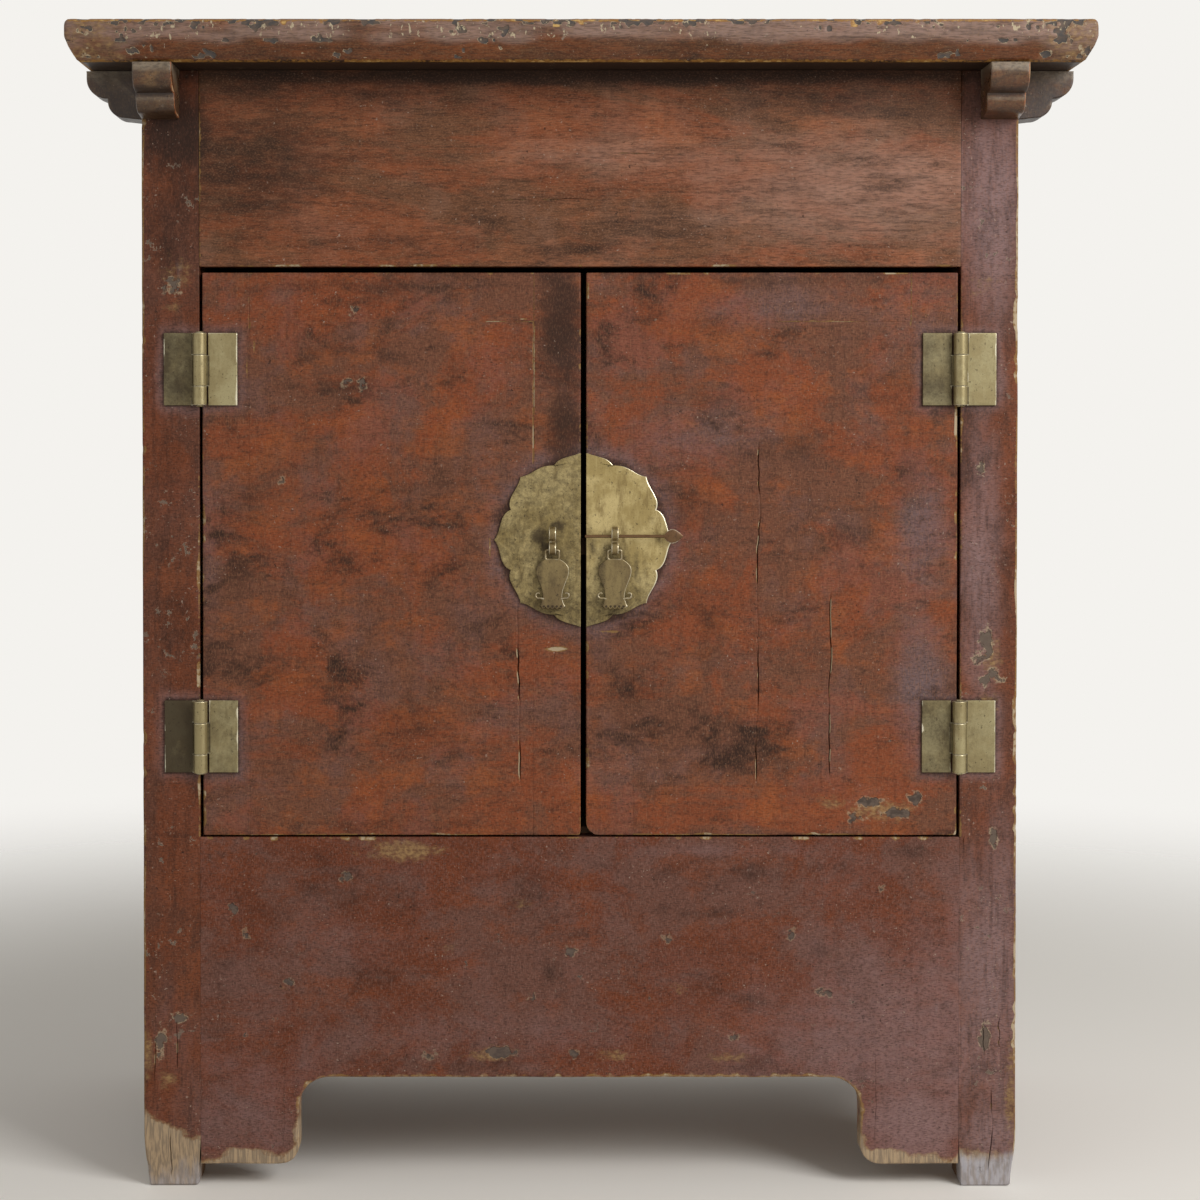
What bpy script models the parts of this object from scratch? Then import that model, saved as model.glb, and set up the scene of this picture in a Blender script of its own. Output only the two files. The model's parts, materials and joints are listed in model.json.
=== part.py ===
# Tall two-door sideboard: a post-and-board carcass with a floating-panel top, a hidden well under the
# cupboard, flush framed doors and brass hardware.
# Metres, +Z up, +X to the viewer's right, -Y towards the viewer. The origin lies on the floor under the
# middle of the top.

import math

import bmesh
import bpy
from mathutils import Matrix, Vector

# Fits
GAP = 0.0003  # between pieces that touch
CUT_PAST = 0.005  # how far a cutter runs past the wood it cuts

# Carcass
BODY_WIDTH = 0.872
BODY_DEPTH = 0.440
BODY_HEIGHT = 1.115  # floor to the underside of the top
POST_SIDE = 0.057
POST_ARRIS = 0.002
BOARD_ARRIS = 0.0008
FRONT_BOARD = 0.026  # thickness of the frieze and well boards
SILL_HEIGHT = 0.351  # top of the well board
HEAD_HEIGHT = 0.920  # underside of the frieze board
TONGUE_LONG = 0.010
TONGUE_THICK = 0.008
TONGUE_SHOULDER = 0.004

# Top
TOP_THICK = 0.041
SIDE_OVERHANG = 0.065
FRONT_OVERHANG = 0.064
BACK_OVERHANG = 0.020
TOP_RAIL = 0.100
TOP_ROUND = 0.006
TOP_BAND = 0.017  # upright part of the moulded edge
TOP_SLANT = 0.012  # how far the edge slants in below the band
TOP_PANEL = 0.018
POST_TENON = 0.024
POST_TENON_LONG = 0.022

# Aprons
ARCH_TOP = 0.110
ARCH_RADIUS = 0.030
LOBE_BOTTOM = 0.023
LOBE_RADIUS = 0.019
FRONT_LOBE = 0.098  # width of a lobe of the well board
WALL_LOBE = 0.070  # width of a lobe at the sides and the back

# Side and back walls
WALL_RECESS = 0.003
WALL_RAIL = 0.028
WALL_RAIL_HIGH = 0.060
WALL_PANEL = 0.015
WALL_APRON = 0.022
WALL_APRON_TOP = 0.200
WALL_TENON_LONG = 0.012

# Corbels and brackets
CORBEL_OUT = 0.056
CORBEL_WIDE = 0.038
CORBEL_BAND = 0.008
CORBEL_STEP = 0.002
UPPER_LOBE_OUT = 0.021
UPPER_LOBE_HIGH = 0.020
LOWER_LOBE = 0.017
CORBEL_HEEL = 0.002
CORBEL_TENON = 0.012
CORBEL_TENON_LONG = 0.010
CORBEL_TENON_INSET = 0.010
BRACKET_SETBACK = 0.006

# Boards inside
DECK_THICK = 0.018
DECK_RISE = 0.006  # above the sill, so that its front edge stops the doors
SHELF_THICK = 0.018
SHELF_ABOVE_DECK = 0.273
SHELF_SETBACK = 0.060
FLOOR_THICK = 0.016
FLOOR_LIFT = 0.008  # above the arches
HOUSING_DEEP = 0.006
HOUSING_HIGH = 0.006
HOUSING_INSET = 0.003
HATCH_WIDE = 0.300
HATCH_DEEP = 0.200
HATCH_REBATE = 0.010
HATCH_LIP = 0.009
HATCH_CLEAR = 0.001
FINGER_HOLE = 0.026

# Doors
DOOR_THICK = 0.024
DOOR_STILE = 0.047
DOOR_RAIL = 0.049
DOOR_PANEL = 0.016
DOOR_SIDE_GAP = 0.003
DOOR_TOP_GAP = 0.006
DOOR_FOOT_GAP = 0.002
MEETING_GAP = 0.0055
MEETING_OFFSET = 0.0035  # the left door is the wider one
DOOR_TONGUE_LONG = 0.008
DOOR_TONGUE_THICK = 0.006
DOOR_TENON_LONG = 0.025
DOOR_TENON_THICK = 0.008
DOOR_TENON_SHOULDER = 0.003
WORN_CORNER = {"left": 0.003, "right": 0.013}  # radius of the lower free corner

# Hinges
HINGE_FROM_TOP = 0.096  # door's end to the hinge's middle
HINGE_FROM_FOOT = 0.099
BARREL_RADIUS = 0.00675
BARREL_LIFT = 0.0002
UPPER_KNUCKLE = 0.022
MIDDLE_KNUCKLE = 0.031
LOWER_KNUCKLE = 0.019
LEAF_WIDE = 0.029
LEAF_THICK = 0.002
LEAF_CLEAR = 0.0008  # leaf's edge to the other leaf's knuckle
HINGE_PIN_RADIUS = 0.0025
PIN_HEAD_RADIUS = 0.004
PIN_HEAD_THICK = 0.0012
PRONG_RADIUS = 0.0015
PRONG_LONG = 0.016

# Lock plates, staples, pulls and pin
LOCK_ABOVE_SILL = 0.297
PLATE_LOBE_RADIUS = 0.084
PLATE_TIP = 0.005
PLATE_TIP_DEGREES = 4.0
PLATE_NOTCH = 0.0055
PLATE_NOTCH_POWER = 6  # the higher, the nearer the notch the petal turns in
PLATE_PETALS = 8
PLATE_THICK = 0.0018
STAPLE_FROM_MEETING = 0.031
STRAP_WIDE = 0.007
STRAP_THICK = 0.0026
EYE_STAND = 0.0075  # plate's face to the eyes' axes
PIN_EYE_RADIUS = 0.007
PIN_EYE_ABOVE = 0.0066  # lock's middle to the pin eye's axis
PULL_EYE_RADIUS = 0.0062
PULL_EYE_BELOW = 0.008  # lock's middle to the pull eye's axis
SHANK_HIGH = 0.006
CLINCH_LONG = 0.012
CLINCH_THICK = 0.0015
LOCK_PIN_RADIUS = 0.0015
LOCK_PIN_LONG = 0.081
LOCK_PIN_TIP = 0.0015  # tip past the right door's free edge, drawn back to the left
LEAF_HEAD_LONG = 0.020
LEAF_HEAD_HIGH = 0.014
LEAF_HEAD_THICK = 0.002
LEAF_HEAD_LAP = 0.003
PULL_THICK = 0.0024
PULL_BAR = 0.0024
PULL_BAR_CLEAR = 0.0008
PULL_WINDOW_WIDE = 0.011
PULL_WINDOW_DROP = 0.007
PULL_COLLAR_SIDE = 0.0025
# Half width and drop below the bar, down the pull's right side: a vase body, then a scrolled foot
PULL_BODY = [(0.0080, 0.0092), (0.0125, 0.0125), (0.0165, 0.0190), (0.0155, 0.0270), (0.0105, 0.0400)]
PULL_SCROLL = [(0.0105, 0.0400), (0.0130, 0.0415), (0.0170, 0.0412), (0.0162, 0.0458), (0.0125, 0.0490)]
PULL_FOOT = [(0.0125, 0.0490), (0.0118, 0.0520), (0.0130, 0.0560)]
PULL_TEETH = [(0.0090, 0.0576), (0.0080, 0.0562), (0.0045, 0.0588), (0.0033, 0.0572), (0.0, 0.0592)]

# Facets
ARC_STEPS = 6
ROUND_SIDES = 24
PRONG_SIDES = 8
PETAL_STEPS = 6
SMOOTH_STEPS = 4
SHARP_DEGREES = 40
WELD = 1e-6

# Worked-out places
y_front = FRONT_OVERHANG - (FRONT_OVERHANG + BODY_DEPTH + BACK_OVERHANG) / 2  # face of posts and doors
y_back = y_front + BODY_DEPTH
x_side = BODY_WIDTH / 2
x_open = x_side - POST_SIDE
z_top = BODY_HEIGHT + TOP_THICK
y_post_back = y_front + POST_SIDE
y_rear_post = y_back - POST_SIDE
x_top = x_side + SIDE_OVERHANG
y_top_front = y_front - FRONT_OVERHANG
y_top_back = y_back + BACK_OVERHANG
x_wall = x_side - WALL_RECESS
y_wall = y_back - WALL_RECESS
z_door = SILL_HEIGHT + DOOR_FOOT_GAP
z_door_top = HEAD_HEIGHT - DOOR_TOP_GAP
z_lock = SILL_HEIGHT + LOCK_ABOVE_SILL
x_hinge = x_open - DOOR_SIDE_GAP / 2
y_leaf = y_front - GAP
y_hinge = y_leaf - BARREL_LIFT - BARREL_RADIUS
y_plate = y_front - GAP - PLATE_THICK  # outer face of the lock plates
y_eye = y_plate - EYE_STAND
z_deck = SILL_HEIGHT + DECK_RISE
z_shelf = z_deck + SHELF_ABOVE_DECK
z_pin_eye = z_lock + PIN_EYE_ABOVE
z_pull_eye = z_lock - PULL_EYE_BELOW
pin_bore = PIN_EYE_RADIUS - STRAP_THICK
pull_bore = PULL_EYE_RADIUS - STRAP_THICK
z_lock_pin = z_pin_eye - (pin_bore - LOCK_PIN_RADIUS - GAP)  # the pin lies on the foot of its eye
z_pull_bar = z_pull_eye - (pull_bore - PULL_BAR / 2 - PULL_BAR_CLEAR)

SIDES = {"left": -1, "right": 1}
TURN = {  # from a flat outline's own plane to the plane it is drawn in
    "XY": Matrix.Identity(4),
    "XZ": Matrix(((1, 0, 0, 0), (0, 0, -1, 0), (0, 1, 0, 0), (0, 0, 0, 1))),
    "YZ": Matrix(((0, 0, 1, 0), (1, 0, 0, 0), (0, 1, 0, 0), (0, 0, 0, 1))),
}
NORMAL = {"XY": Vector((0, 0, 1)), "XZ": Vector((0, -1, 0)), "YZ": Vector((1, 0, 0))}
AXIS_TURN = {
    "X": Matrix.Rotation(math.pi / 2, 4, "Y"),
    "Y": Matrix.Rotation(math.pi / 2, 4, "X"),
    "Z": Matrix.Identity(4),
}

for old in list(bpy.data.objects):
    bpy.data.objects.remove(old, do_unlink=True)

parts = bpy.data.collections.new("tall_sideboard")
cutters = bpy.data.collections.new("tall_sideboard_cutters")
bpy.context.scene.collection.children.link(parts)
bpy.context.scene.collection.children.link(cutters)


# Materials
def linear(channel):
    value = channel / 255
    return value / 12.92 if value <= 0.04045 else ((value + 0.055) / 1.055) ** 2.4


def finish(name, red, green, blue, roughness, metallic=0.0):
    material = bpy.data.materials.new(name)
    material.use_nodes = True
    shader = material.node_tree.nodes["Principled BSDF"]
    shader.inputs["Base Color"].default_value = (linear(red), linear(green), linear(blue), 1)
    shader.inputs["Roughness"].default_value = roughness
    shader.inputs["Metallic"].default_value = metallic
    return material


red_lacquer = finish("red_lacquer", 96, 46, 36, 0.42)
brown_lacquer = finish("brown_lacquer", 92, 55, 40, 0.45)
worn_lacquer = finish("worn_lacquer", 104, 68, 50, 0.55)
bare_wood = finish("bare_wood", 128, 98, 70, 0.75)
old_brass = finish("old_brass", 128, 110, 72, 0.38, 1.0)


# Shapes
def add(name, mesh, material, matrix):
    piece = bpy.data.objects.new(name, mesh)
    piece.matrix_world = matrix
    if material:
        mesh.materials.append(material)
        parts.objects.link(piece)
    else:
        piece.hide_render = True
        piece.display_type = "WIRE"
        cutters.objects.link(piece)
    return piece


def mesh_from(name, build):
    shape = bmesh.new()
    build(shape)
    mesh = bpy.data.meshes.new(name)
    shape.to_mesh(mesh)
    shape.free()
    return mesh


def box(name, low, high, material=None, arris=0.0):
    low, high = Vector(low), Vector(high)
    size = Matrix.Diagonal((*(high - low), 1))
    mesh = mesh_from(name, lambda shape: bmesh.ops.create_cube(shape, size=1, matrix=size))
    piece = add(name, mesh, material, Matrix.Translation((low + high) / 2))
    if arris:
        bevel = piece.modifiers.new("arris", "BEVEL")
        bevel.width = arris
        bevel.segments = 1
    return piece


def rod(name, centre, axis, radius, long, material=None, sides=ROUND_SIDES):
    def build(shape):
        bmesh.ops.create_cone(
            shape, cap_ends=True, segments=sides, radius1=radius, radius2=radius, depth=long
        )

    mesh = mesh_from(name, build)
    mesh.shade_smooth()
    mesh.set_sharp_from_angle(angle=math.radians(SHARP_DEGREES))
    return add(name, mesh, material, Matrix.Translation(centre) @ AXIS_TURN[axis])


def prism(name, loops, plane, low, high, material=None):
    # A flat outline, with its holes as further loops, that fills low to high along the plane's third axis
    curve = bpy.data.curves.new(name, "CURVE")
    curve.dimensions = "2D"
    curve.fill_mode = "BOTH"
    curve.extrude = (high - low) / 2
    for loop in loops:
        spline = curve.splines.new("POLY")
        spline.points.add(len(loop) - 1)
        for point, (along, up) in zip(spline.points, loop):
            point.co = (along, up, 0, 1)
        spline.use_cyclic_u = True
    guide = bpy.data.objects.new(name + "_outline", curve)
    middle = Vector(abs(part) for part in NORMAL[plane]) * (low + high) / 2
    guide.matrix_world = Matrix.Translation(middle) @ TURN[plane]
    cutters.objects.link(guide)
    bpy.context.view_layer.update()
    graph = bpy.context.evaluated_depsgraph_get()
    mesh = bpy.data.meshes.new_from_object(guide.evaluated_get(graph))
    welded = bmesh.new()
    welded.from_mesh(mesh)
    bmesh.ops.remove_doubles(welded, verts=welded.verts, dist=WELD)
    bmesh.ops.recalc_face_normals(welded, faces=welded.faces)
    welded.to_mesh(mesh)
    welded.free()
    mesh.name = name
    matrix = guide.matrix_world.copy()
    bpy.data.objects.remove(guide)
    return add(name, mesh, material, matrix)


def combine(piece, other, operation):
    boolean = piece.modifiers.new(other.name, "BOOLEAN")
    boolean.operation = operation
    boolean.solver = "EXACT"
    boolean.object = other


def cut(piece, low, high):
    combine(piece, box(piece.name + "_cut", low, high), "DIFFERENCE")


def join(piece, *others):
    for other in others:
        combine(piece, other, "UNION")


def tenon(piece, low, high, *seats):
    # A tongue or tenon on the piece, and the groove or mortise for it in each seat
    join(piece, box(piece.name + "_tenon", low, high))
    mortise(piece.name + "_mortise", low, high, *seats)


def mortise(name, low, high, *seats):
    ease = Vector((GAP, GAP, GAP))
    hole = box(name, Vector(low) - ease, Vector(high) + ease)
    for seat in seats:
        combine(seat, hole, "DIFFERENCE")


def arc(centre, radii, start, end, steps=ARC_STEPS):
    turns = [math.radians(start + (end - start) * step / steps) for step in range(steps + 1)]
    return [(centre[0] + radii[0] * math.cos(t), centre[1] + radii[1] * math.sin(t)) for t in turns]


def smooth(points, steps=SMOOTH_STEPS):
    # Catmull-Rom curve through the points, leaving out the last one
    ends = [points[0], *points, points[-1]]
    curve = []
    for a, b, c, d in zip(ends, ends[1:], ends[2:], ends[3:]):
        for step in range(steps):
            t = step / steps
            weights = (-t + 2 * t**2 - t**3, 2 - 5 * t**2 + 3 * t**3, t + 4 * t**2 - 3 * t**3, t**3 - t**2)
            curve.append(tuple(sum(w * p[k] for w, p in zip(weights, (a, b, c, d))) / 2 for k in (0, 1)))
    return curve


def ordered(first, second):
    return (min(first, second), max(first, second))


def corners(*spans):
    # Low and high corner of a box from its spans along X, Y and Z
    spans = [ordered(*span) for span in spans]
    return [span[0] for span in spans], [span[1] for span in spans]


def carry(pieces, name, where):
    # Parents moving pieces to an empty on their joint's axis
    empty = bpy.data.objects.new(name, None)
    empty.location = where
    parts.objects.link(empty)
    for piece in pieces:
        piece.parent = empty
        piece.matrix_parent_inverse = Matrix.Translation(-Vector(where))
    return empty


# Posts, which stand on the floor and carry the top on stub tenons
post_spans = {
    f"{end}_{side}_post": (
        ordered(sign * x_open, sign * x_side),
        (y_front, y_post_back) if end == "front" else (y_rear_post, y_back),
    )
    for end in ("front", "back")
    for side, sign in SIDES.items()
}
posts = {}
for name, (x_span, y_span) in post_spans.items():
    posts[name] = box(
        name,
        *corners(x_span, y_span, (0, BODY_HEIGHT - GAP)),
        red_lacquer,
        POST_ARRIS,
    )


# Top: four mitred rails round a floating panel
def top_edge():
    # Moulded edge as distance in from the outer edge and height
    band_foot = (0, z_top - TOP_BAND)
    inner = [(TOP_SLANT, BODY_HEIGHT), (TOP_RAIL, BODY_HEIGHT), (TOP_RAIL, z_top)]
    return [band_foot, *inner, *arc((TOP_ROUND, z_top - TOP_ROUND), (TOP_ROUND, TOP_ROUND), 90, 180)]


def mitre(outer, end, sign, plane):
    # Outline, from above, of the part of a rail between its two mitres
    rows = (-CUT_PAST, TOP_RAIL + CUT_PAST)
    near, far = [end - row - GAP / math.sqrt(2) for row in rows]
    at = [outer + sign * row for row in rows]
    if plane == "X":
        return [(-near, at[0]), (near, at[0]), (far, at[1]), (-far, at[1])]
    middle = (y_top_front + y_top_back) / 2
    return [(at[0], middle - near), (at[0], middle + near), (at[1], middle + far), (at[1], middle - far)]


top_half_deep = (y_top_back - y_top_front) / 2
top_rails = {}
for name, outer, sign, plane in (
    ("front", y_top_front, 1, "X"),
    ("back", y_top_back, -1, "X"),
    ("left", -x_top, 1, "Y"),
    ("right", x_top, -1, "Y"),
):
    node = f"top_{name}_rail"
    profile = [(outer + sign * inward, height) for inward, height in top_edge()]
    if plane == "X":
        rail = prism(node, [profile], "YZ", -x_top, x_top, worn_lacquer)
        ends = mitre(outer, x_top, sign, "X")
    else:
        rail = prism(node, [profile], "XZ", y_top_front, y_top_back, worn_lacquer)
        ends = mitre(outer, top_half_deep, sign, "Y")
    shape = prism(node + "_mitre", [ends], "XY", BODY_HEIGHT - CUT_PAST, z_top + CUT_PAST)
    combine(rail, shape, "INTERSECT")
    top_rails[name] = rail

x_panel = x_top - TOP_RAIL
y_panel = (y_top_front + TOP_RAIL, y_top_back - TOP_RAIL)
z_panel = z_top - TOP_PANEL
top_panel = box(
    "top_panel",
    (-x_panel + GAP, y_panel[0] + GAP, z_panel),
    (x_panel - GAP, y_panel[1] - GAP, z_top),
    worn_lacquer,
    BOARD_ARRIS,
)
tenon(
    top_panel,
    (-x_panel - TONGUE_LONG, y_panel[0] - TONGUE_LONG, z_panel + TONGUE_SHOULDER),
    (x_panel + TONGUE_LONG, y_panel[1] + TONGUE_LONG, z_panel + TONGUE_SHOULDER + TONGUE_THICK),
    *top_rails.values(),
)
for name, (x_span, y_span) in post_spans.items():
    end, side, _ = name.split("_")
    x_mid, y_mid = sum(x_span) / 2, sum(y_span) / 2
    tenon(
        posts[name],
        (x_mid - POST_TENON / 2, y_mid - POST_TENON / 2, BODY_HEIGHT - POST_TENON_LONG),
        (x_mid + POST_TENON / 2, y_mid + POST_TENON / 2, BODY_HEIGHT + POST_TENON_LONG),
        top_rails[end],
        top_rails[side],
    )


# Frieze board and well board, tongued into the front posts
def arch(middle, half, lobe, top):
    # A board from lobe bottoms to top, whose lower edge rises in a round-cornered arch between two lobes
    inner = half - lobe
    rise = arc((inner - ARCH_RADIUS, ARCH_TOP - ARCH_RADIUS), (ARCH_RADIUS, ARCH_RADIUS), 90, 0)
    foot = arc((inner + LOBE_RADIUS, LOBE_BOTTOM + LOBE_RADIUS), (LOBE_RADIUS, LOBE_RADIUS), 180, 270)
    right = [*rise, *foot, (half, LOBE_BOTTOM), (half, top)]
    left = [(-along, up) for along, up in reversed(right)]
    return [(middle + along, up) for along, up in right + left]


front_posts = (posts["front_left_post"], posts["front_right_post"])
y_tongue = (y_front + FRONT_BOARD / 2 - TONGUE_THICK / 2, y_front + FRONT_BOARD / 2 + TONGUE_THICK / 2)
frieze_board = box(
    "frieze_board",
    (-x_open + GAP, y_front, HEAD_HEIGHT),
    (x_open - GAP, y_front + FRONT_BOARD, BODY_HEIGHT - GAP),
    brown_lacquer,
    BOARD_ARRIS,
)
tenon(
    frieze_board,
    (-x_open - TONGUE_LONG, y_tongue[0], HEAD_HEIGHT + TONGUE_SHOULDER),
    (x_open + TONGUE_LONG, y_tongue[1], BODY_HEIGHT - TONGUE_SHOULDER),
    *front_posts,
)
well_board = prism(
    "well_board",
    [arch(0, x_open - GAP, FRONT_LOBE, SILL_HEIGHT)],
    "XZ",
    y_front,
    y_front + FRONT_BOARD,
    red_lacquer,
)
tenon(
    well_board,
    (-x_open - TONGUE_LONG, y_tongue[0], ARCH_TOP + TONGUE_SHOULDER),
    (x_open + TONGUE_LONG, y_tongue[1], SILL_HEIGHT - TONGUE_SHOULDER),
    *front_posts,
)


# Side and back walls, each a top rail, a panel and an arched apron between two posts
def wall_box(wall, along, inward, height):
    # Corners of a box from its spans along the wall, in from the wall's outer face, and up
    if wall == "back":
        return corners(along, [y_wall - depth for depth in inward], height)
    sign = SIDES[wall.split("_")[0]]
    return corners([sign * (x_wall - depth) for depth in inward], along, height)


def middle_of(thick, tongue):
    return ((thick - tongue) / 2, (thick + tongue) / 2)


walls = {}
for wall in ("left_side", "right_side", "back"):
    if wall == "back":
        start, end = -x_open, x_open
        seats = (posts["back_left_post"], posts["back_right_post"])
    else:
        start, end = y_post_back, y_rear_post
        side = wall.split("_")[0]
        seats = (posts[f"front_{side}_post"], posts[f"back_{side}_post"])
    inside = (start + GAP, end - GAP)
    rail_foot = BODY_HEIGHT - WALL_RAIL_HIGH
    top_rail = box(
        wall + "_top_rail",
        *wall_box(wall, inside, (0, WALL_RAIL), (rail_foot, BODY_HEIGHT - GAP)),
        red_lacquer,
        BOARD_ARRIS,
    )
    apron_spans = wall_box(wall, inside, (0, WALL_APRON), (LOBE_BOTTOM, WALL_APRON_TOP))
    thick_axis = 1 if wall == "back" else 0
    apron = prism(
        wall + "_apron",
        [arch((start + end) / 2, (end - start) / 2 - GAP, WALL_LOBE, WALL_APRON_TOP)],
        "XZ" if wall == "back" else "YZ",
        apron_spans[0][thick_axis],
        apron_spans[1][thick_axis],
        red_lacquer,
    )
    panel = box(
        wall + "_panel",
        *wall_box(wall, inside, (0, WALL_PANEL), (WALL_APRON_TOP + GAP, rail_foot - GAP)),
        red_lacquer,
        BOARD_ARRIS,
    )
    shoulder = TONGUE_LONG + TONGUE_SHOULDER
    reach = (start - WALL_TENON_LONG, end + WALL_TENON_LONG)
    tenon(
        top_rail,
        *wall_box(
            wall,
            reach,
            middle_of(WALL_RAIL, TONGUE_THICK),
            (rail_foot + shoulder, BODY_HEIGHT - TONGUE_SHOULDER),
        ),
        *seats,
    )
    tenon(
        apron,
        *wall_box(
            wall,
            reach,
            middle_of(WALL_APRON, TONGUE_THICK),
            (ARCH_TOP + TONGUE_SHOULDER, WALL_APRON_TOP - shoulder),
        ),
        *seats,
    )
    tenon(
        panel,
        *wall_box(
            wall,
            (start - TONGUE_LONG, end + TONGUE_LONG),
            middle_of(WALL_PANEL, TONGUE_THICK),
            (WALL_APRON_TOP - TONGUE_LONG, rail_foot + TONGUE_LONG),
        ),
        *seats,
        top_rail,
        apron,
    )
    walls[wall] = {"top_rail": top_rail, "panel": panel, "apron": apron}


# Corbels under the front overhang and brackets under the side overhangs, tenoned into the posts
def corbel_outline(start, sign):
    # Two rounded lobes stepping in under a short upright band, drawn from the post's face outwards
    upper = arc((0, -CORBEL_BAND), (UPPER_LOBE_OUT, -UPPER_LOBE_HIGH), 0, 90)
    lower_drop = -CORBEL_BAND - UPPER_LOBE_HIGH - CORBEL_STEP
    lower = arc((-LOWER_LOBE, lower_drop), (LOWER_LOBE, -LOWER_LOBE), 0, 90)
    notch = CORBEL_OUT - UPPER_LOBE_OUT
    curve = [(notch + out, drop) for out, drop in upper + lower]
    heel = (GAP, lower_drop - LOWER_LOBE - CORBEL_HEEL)
    points = [(GAP, 0), (CORBEL_OUT, 0), *curve, heel]
    return [(start + sign * out, BODY_HEIGHT - GAP + drop) for out, drop in points]


corbel_tenon_z = (
    BODY_HEIGHT - CORBEL_TENON_INSET - CORBEL_TENON,
    BODY_HEIGHT - CORBEL_TENON_INSET,
)
for side, sign in SIDES.items():
    x_span = ordered(sign * x_side, sign * (x_side - CORBEL_WIDE))
    corbel = prism(f"{side}_corbel", [corbel_outline(y_front, -1)], "YZ", *x_span, worn_lacquer)
    x_mid = sum(x_span) / 2
    tenon(
        corbel,
        (x_mid - CORBEL_TENON / 2, y_front - CORBEL_TENON_LONG, corbel_tenon_z[0]),
        (x_mid + CORBEL_TENON / 2, y_front + CORBEL_TENON_LONG, corbel_tenon_z[1]),
        posts[f"front_{side}_post"],
    )
    for end, y_start in (
        ("front", y_front + BRACKET_SETBACK),
        ("back", y_back - BRACKET_SETBACK - CORBEL_WIDE),
    ):
        y_span = (y_start, y_start + CORBEL_WIDE)
        outline = corbel_outline(sign * x_side, sign)
        bracket = prism(f"{side}_{end}_bracket", [outline], "XZ", *y_span, worn_lacquer)
        y_mid = sum(y_span) / 2
        tenon(
            bracket,
            *corners(
                (sign * (x_side - CORBEL_TENON_LONG), sign * (x_side + CORBEL_TENON_LONG)),
                (y_mid - CORBEL_TENON / 2, y_mid + CORBEL_TENON / 2),
                corbel_tenon_z,
            ),
            posts[f"{end}_{side}_post"],
        )

# Shelf, deck and well floor, housed in the walls and notched round the posts
post_notches = [
    box(name + "_notch", *corners(*[(low - GAP, high + GAP) for low, high in spans], (-GAP, BODY_HEIGHT)))
    for name, spans in post_spans.items()
]
y_inside = y_front + FRONT_BOARD


def housed_board(name, foot, thick, x_half, y_span, y_reach, seats):
    # A level board whose thin tongue runs into the housings of its seats
    board = box(
        name,
        (-x_half + GAP, y_span[0] + GAP, foot),
        (x_half - GAP, y_span[1] - GAP, foot + thick),
        bare_wood,
        BOARD_ARRIS,
    )
    low = (-x_half - HOUSING_DEEP, y_reach[0], foot + HOUSING_INSET)
    high = (x_half + HOUSING_DEEP, y_reach[1], foot + HOUSING_INSET + HOUSING_HIGH)
    tenon(board, low, high, *seats)
    for notch in post_notches:
        combine(board, notch, "DIFFERENCE")
    return board


x_lining = x_wall - WALL_PANEL
y_lining = y_wall - WALL_PANEL
wall_panels = [walls[wall]["panel"] for wall in walls]
shelf_front = y_front + SHELF_SETBACK
housed_board(
    "shelf",
    z_shelf,
    SHELF_THICK,
    x_lining,
    (shelf_front, y_lining),
    (shelf_front + HOUSING_DEEP, y_lining + HOUSING_DEEP),
    wall_panels,
)
deck = housed_board(
    "deck",
    z_deck - DECK_THICK,
    DECK_THICK,
    x_lining,
    (y_inside, y_lining),
    (y_inside - HOUSING_DEEP, y_lining + HOUSING_DEEP),
    [well_board, *wall_panels],
)
x_apron = x_wall - WALL_APRON
y_apron = y_wall - WALL_APRON
housed_board(
    "well_floor",
    ARCH_TOP + FLOOR_LIFT,
    FLOOR_THICK,
    x_apron,
    (y_inside, y_apron),
    (y_inside - HOUSING_DEEP, y_apron + HOUSING_DEEP),
    [well_board, *[walls[wall]["apron"] for wall in walls]],
)

# Lift-out board over the well, lying in a rebated opening of the deck
hatch_x = HATCH_WIDE / 2
y_deck_mid = (y_inside + y_lining) / 2
hatch_y = (y_deck_mid - HATCH_DEEP / 2, y_deck_mid + HATCH_DEEP / 2)
z_lip = z_deck - HATCH_LIP
cut(
    deck,
    (-hatch_x, hatch_y[0], z_deck - DECK_THICK - CUT_PAST),
    (hatch_x, hatch_y[1], z_deck + CUT_PAST),
)
cut(
    deck,
    (-hatch_x - HATCH_REBATE, hatch_y[0] - HATCH_REBATE, z_lip),
    (hatch_x + HATCH_REBATE, hatch_y[1] + HATCH_REBATE, z_deck + CUT_PAST),
)
ledge = HATCH_REBATE - HATCH_CLEAR
deck_hatch = box(
    "deck_hatch",
    (-hatch_x - ledge, hatch_y[0] - ledge, z_lip + GAP),
    (hatch_x + ledge, hatch_y[1] + ledge, z_deck),
    bare_wood,
    BOARD_ARRIS,
)
join(
    deck_hatch,
    box(
        "deck_hatch_body",
        (-hatch_x + HATCH_CLEAR, hatch_y[0] + HATCH_CLEAR, z_deck - DECK_THICK),
        (hatch_x - HATCH_CLEAR, hatch_y[1] - HATCH_CLEAR, z_deck - HATCH_LIP / 2),
    ),
)
finger_cutter = rod(
    "deck_hatch_finger_cut",
    (0, y_deck_mid, z_deck - DECK_THICK / 2),
    "Z",
    FINGER_HOLE / 2,
    DECK_THICK + 2 * CUT_PAST,
)
combine(deck_hatch, finger_cutter, "DIFFERENCE")


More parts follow.
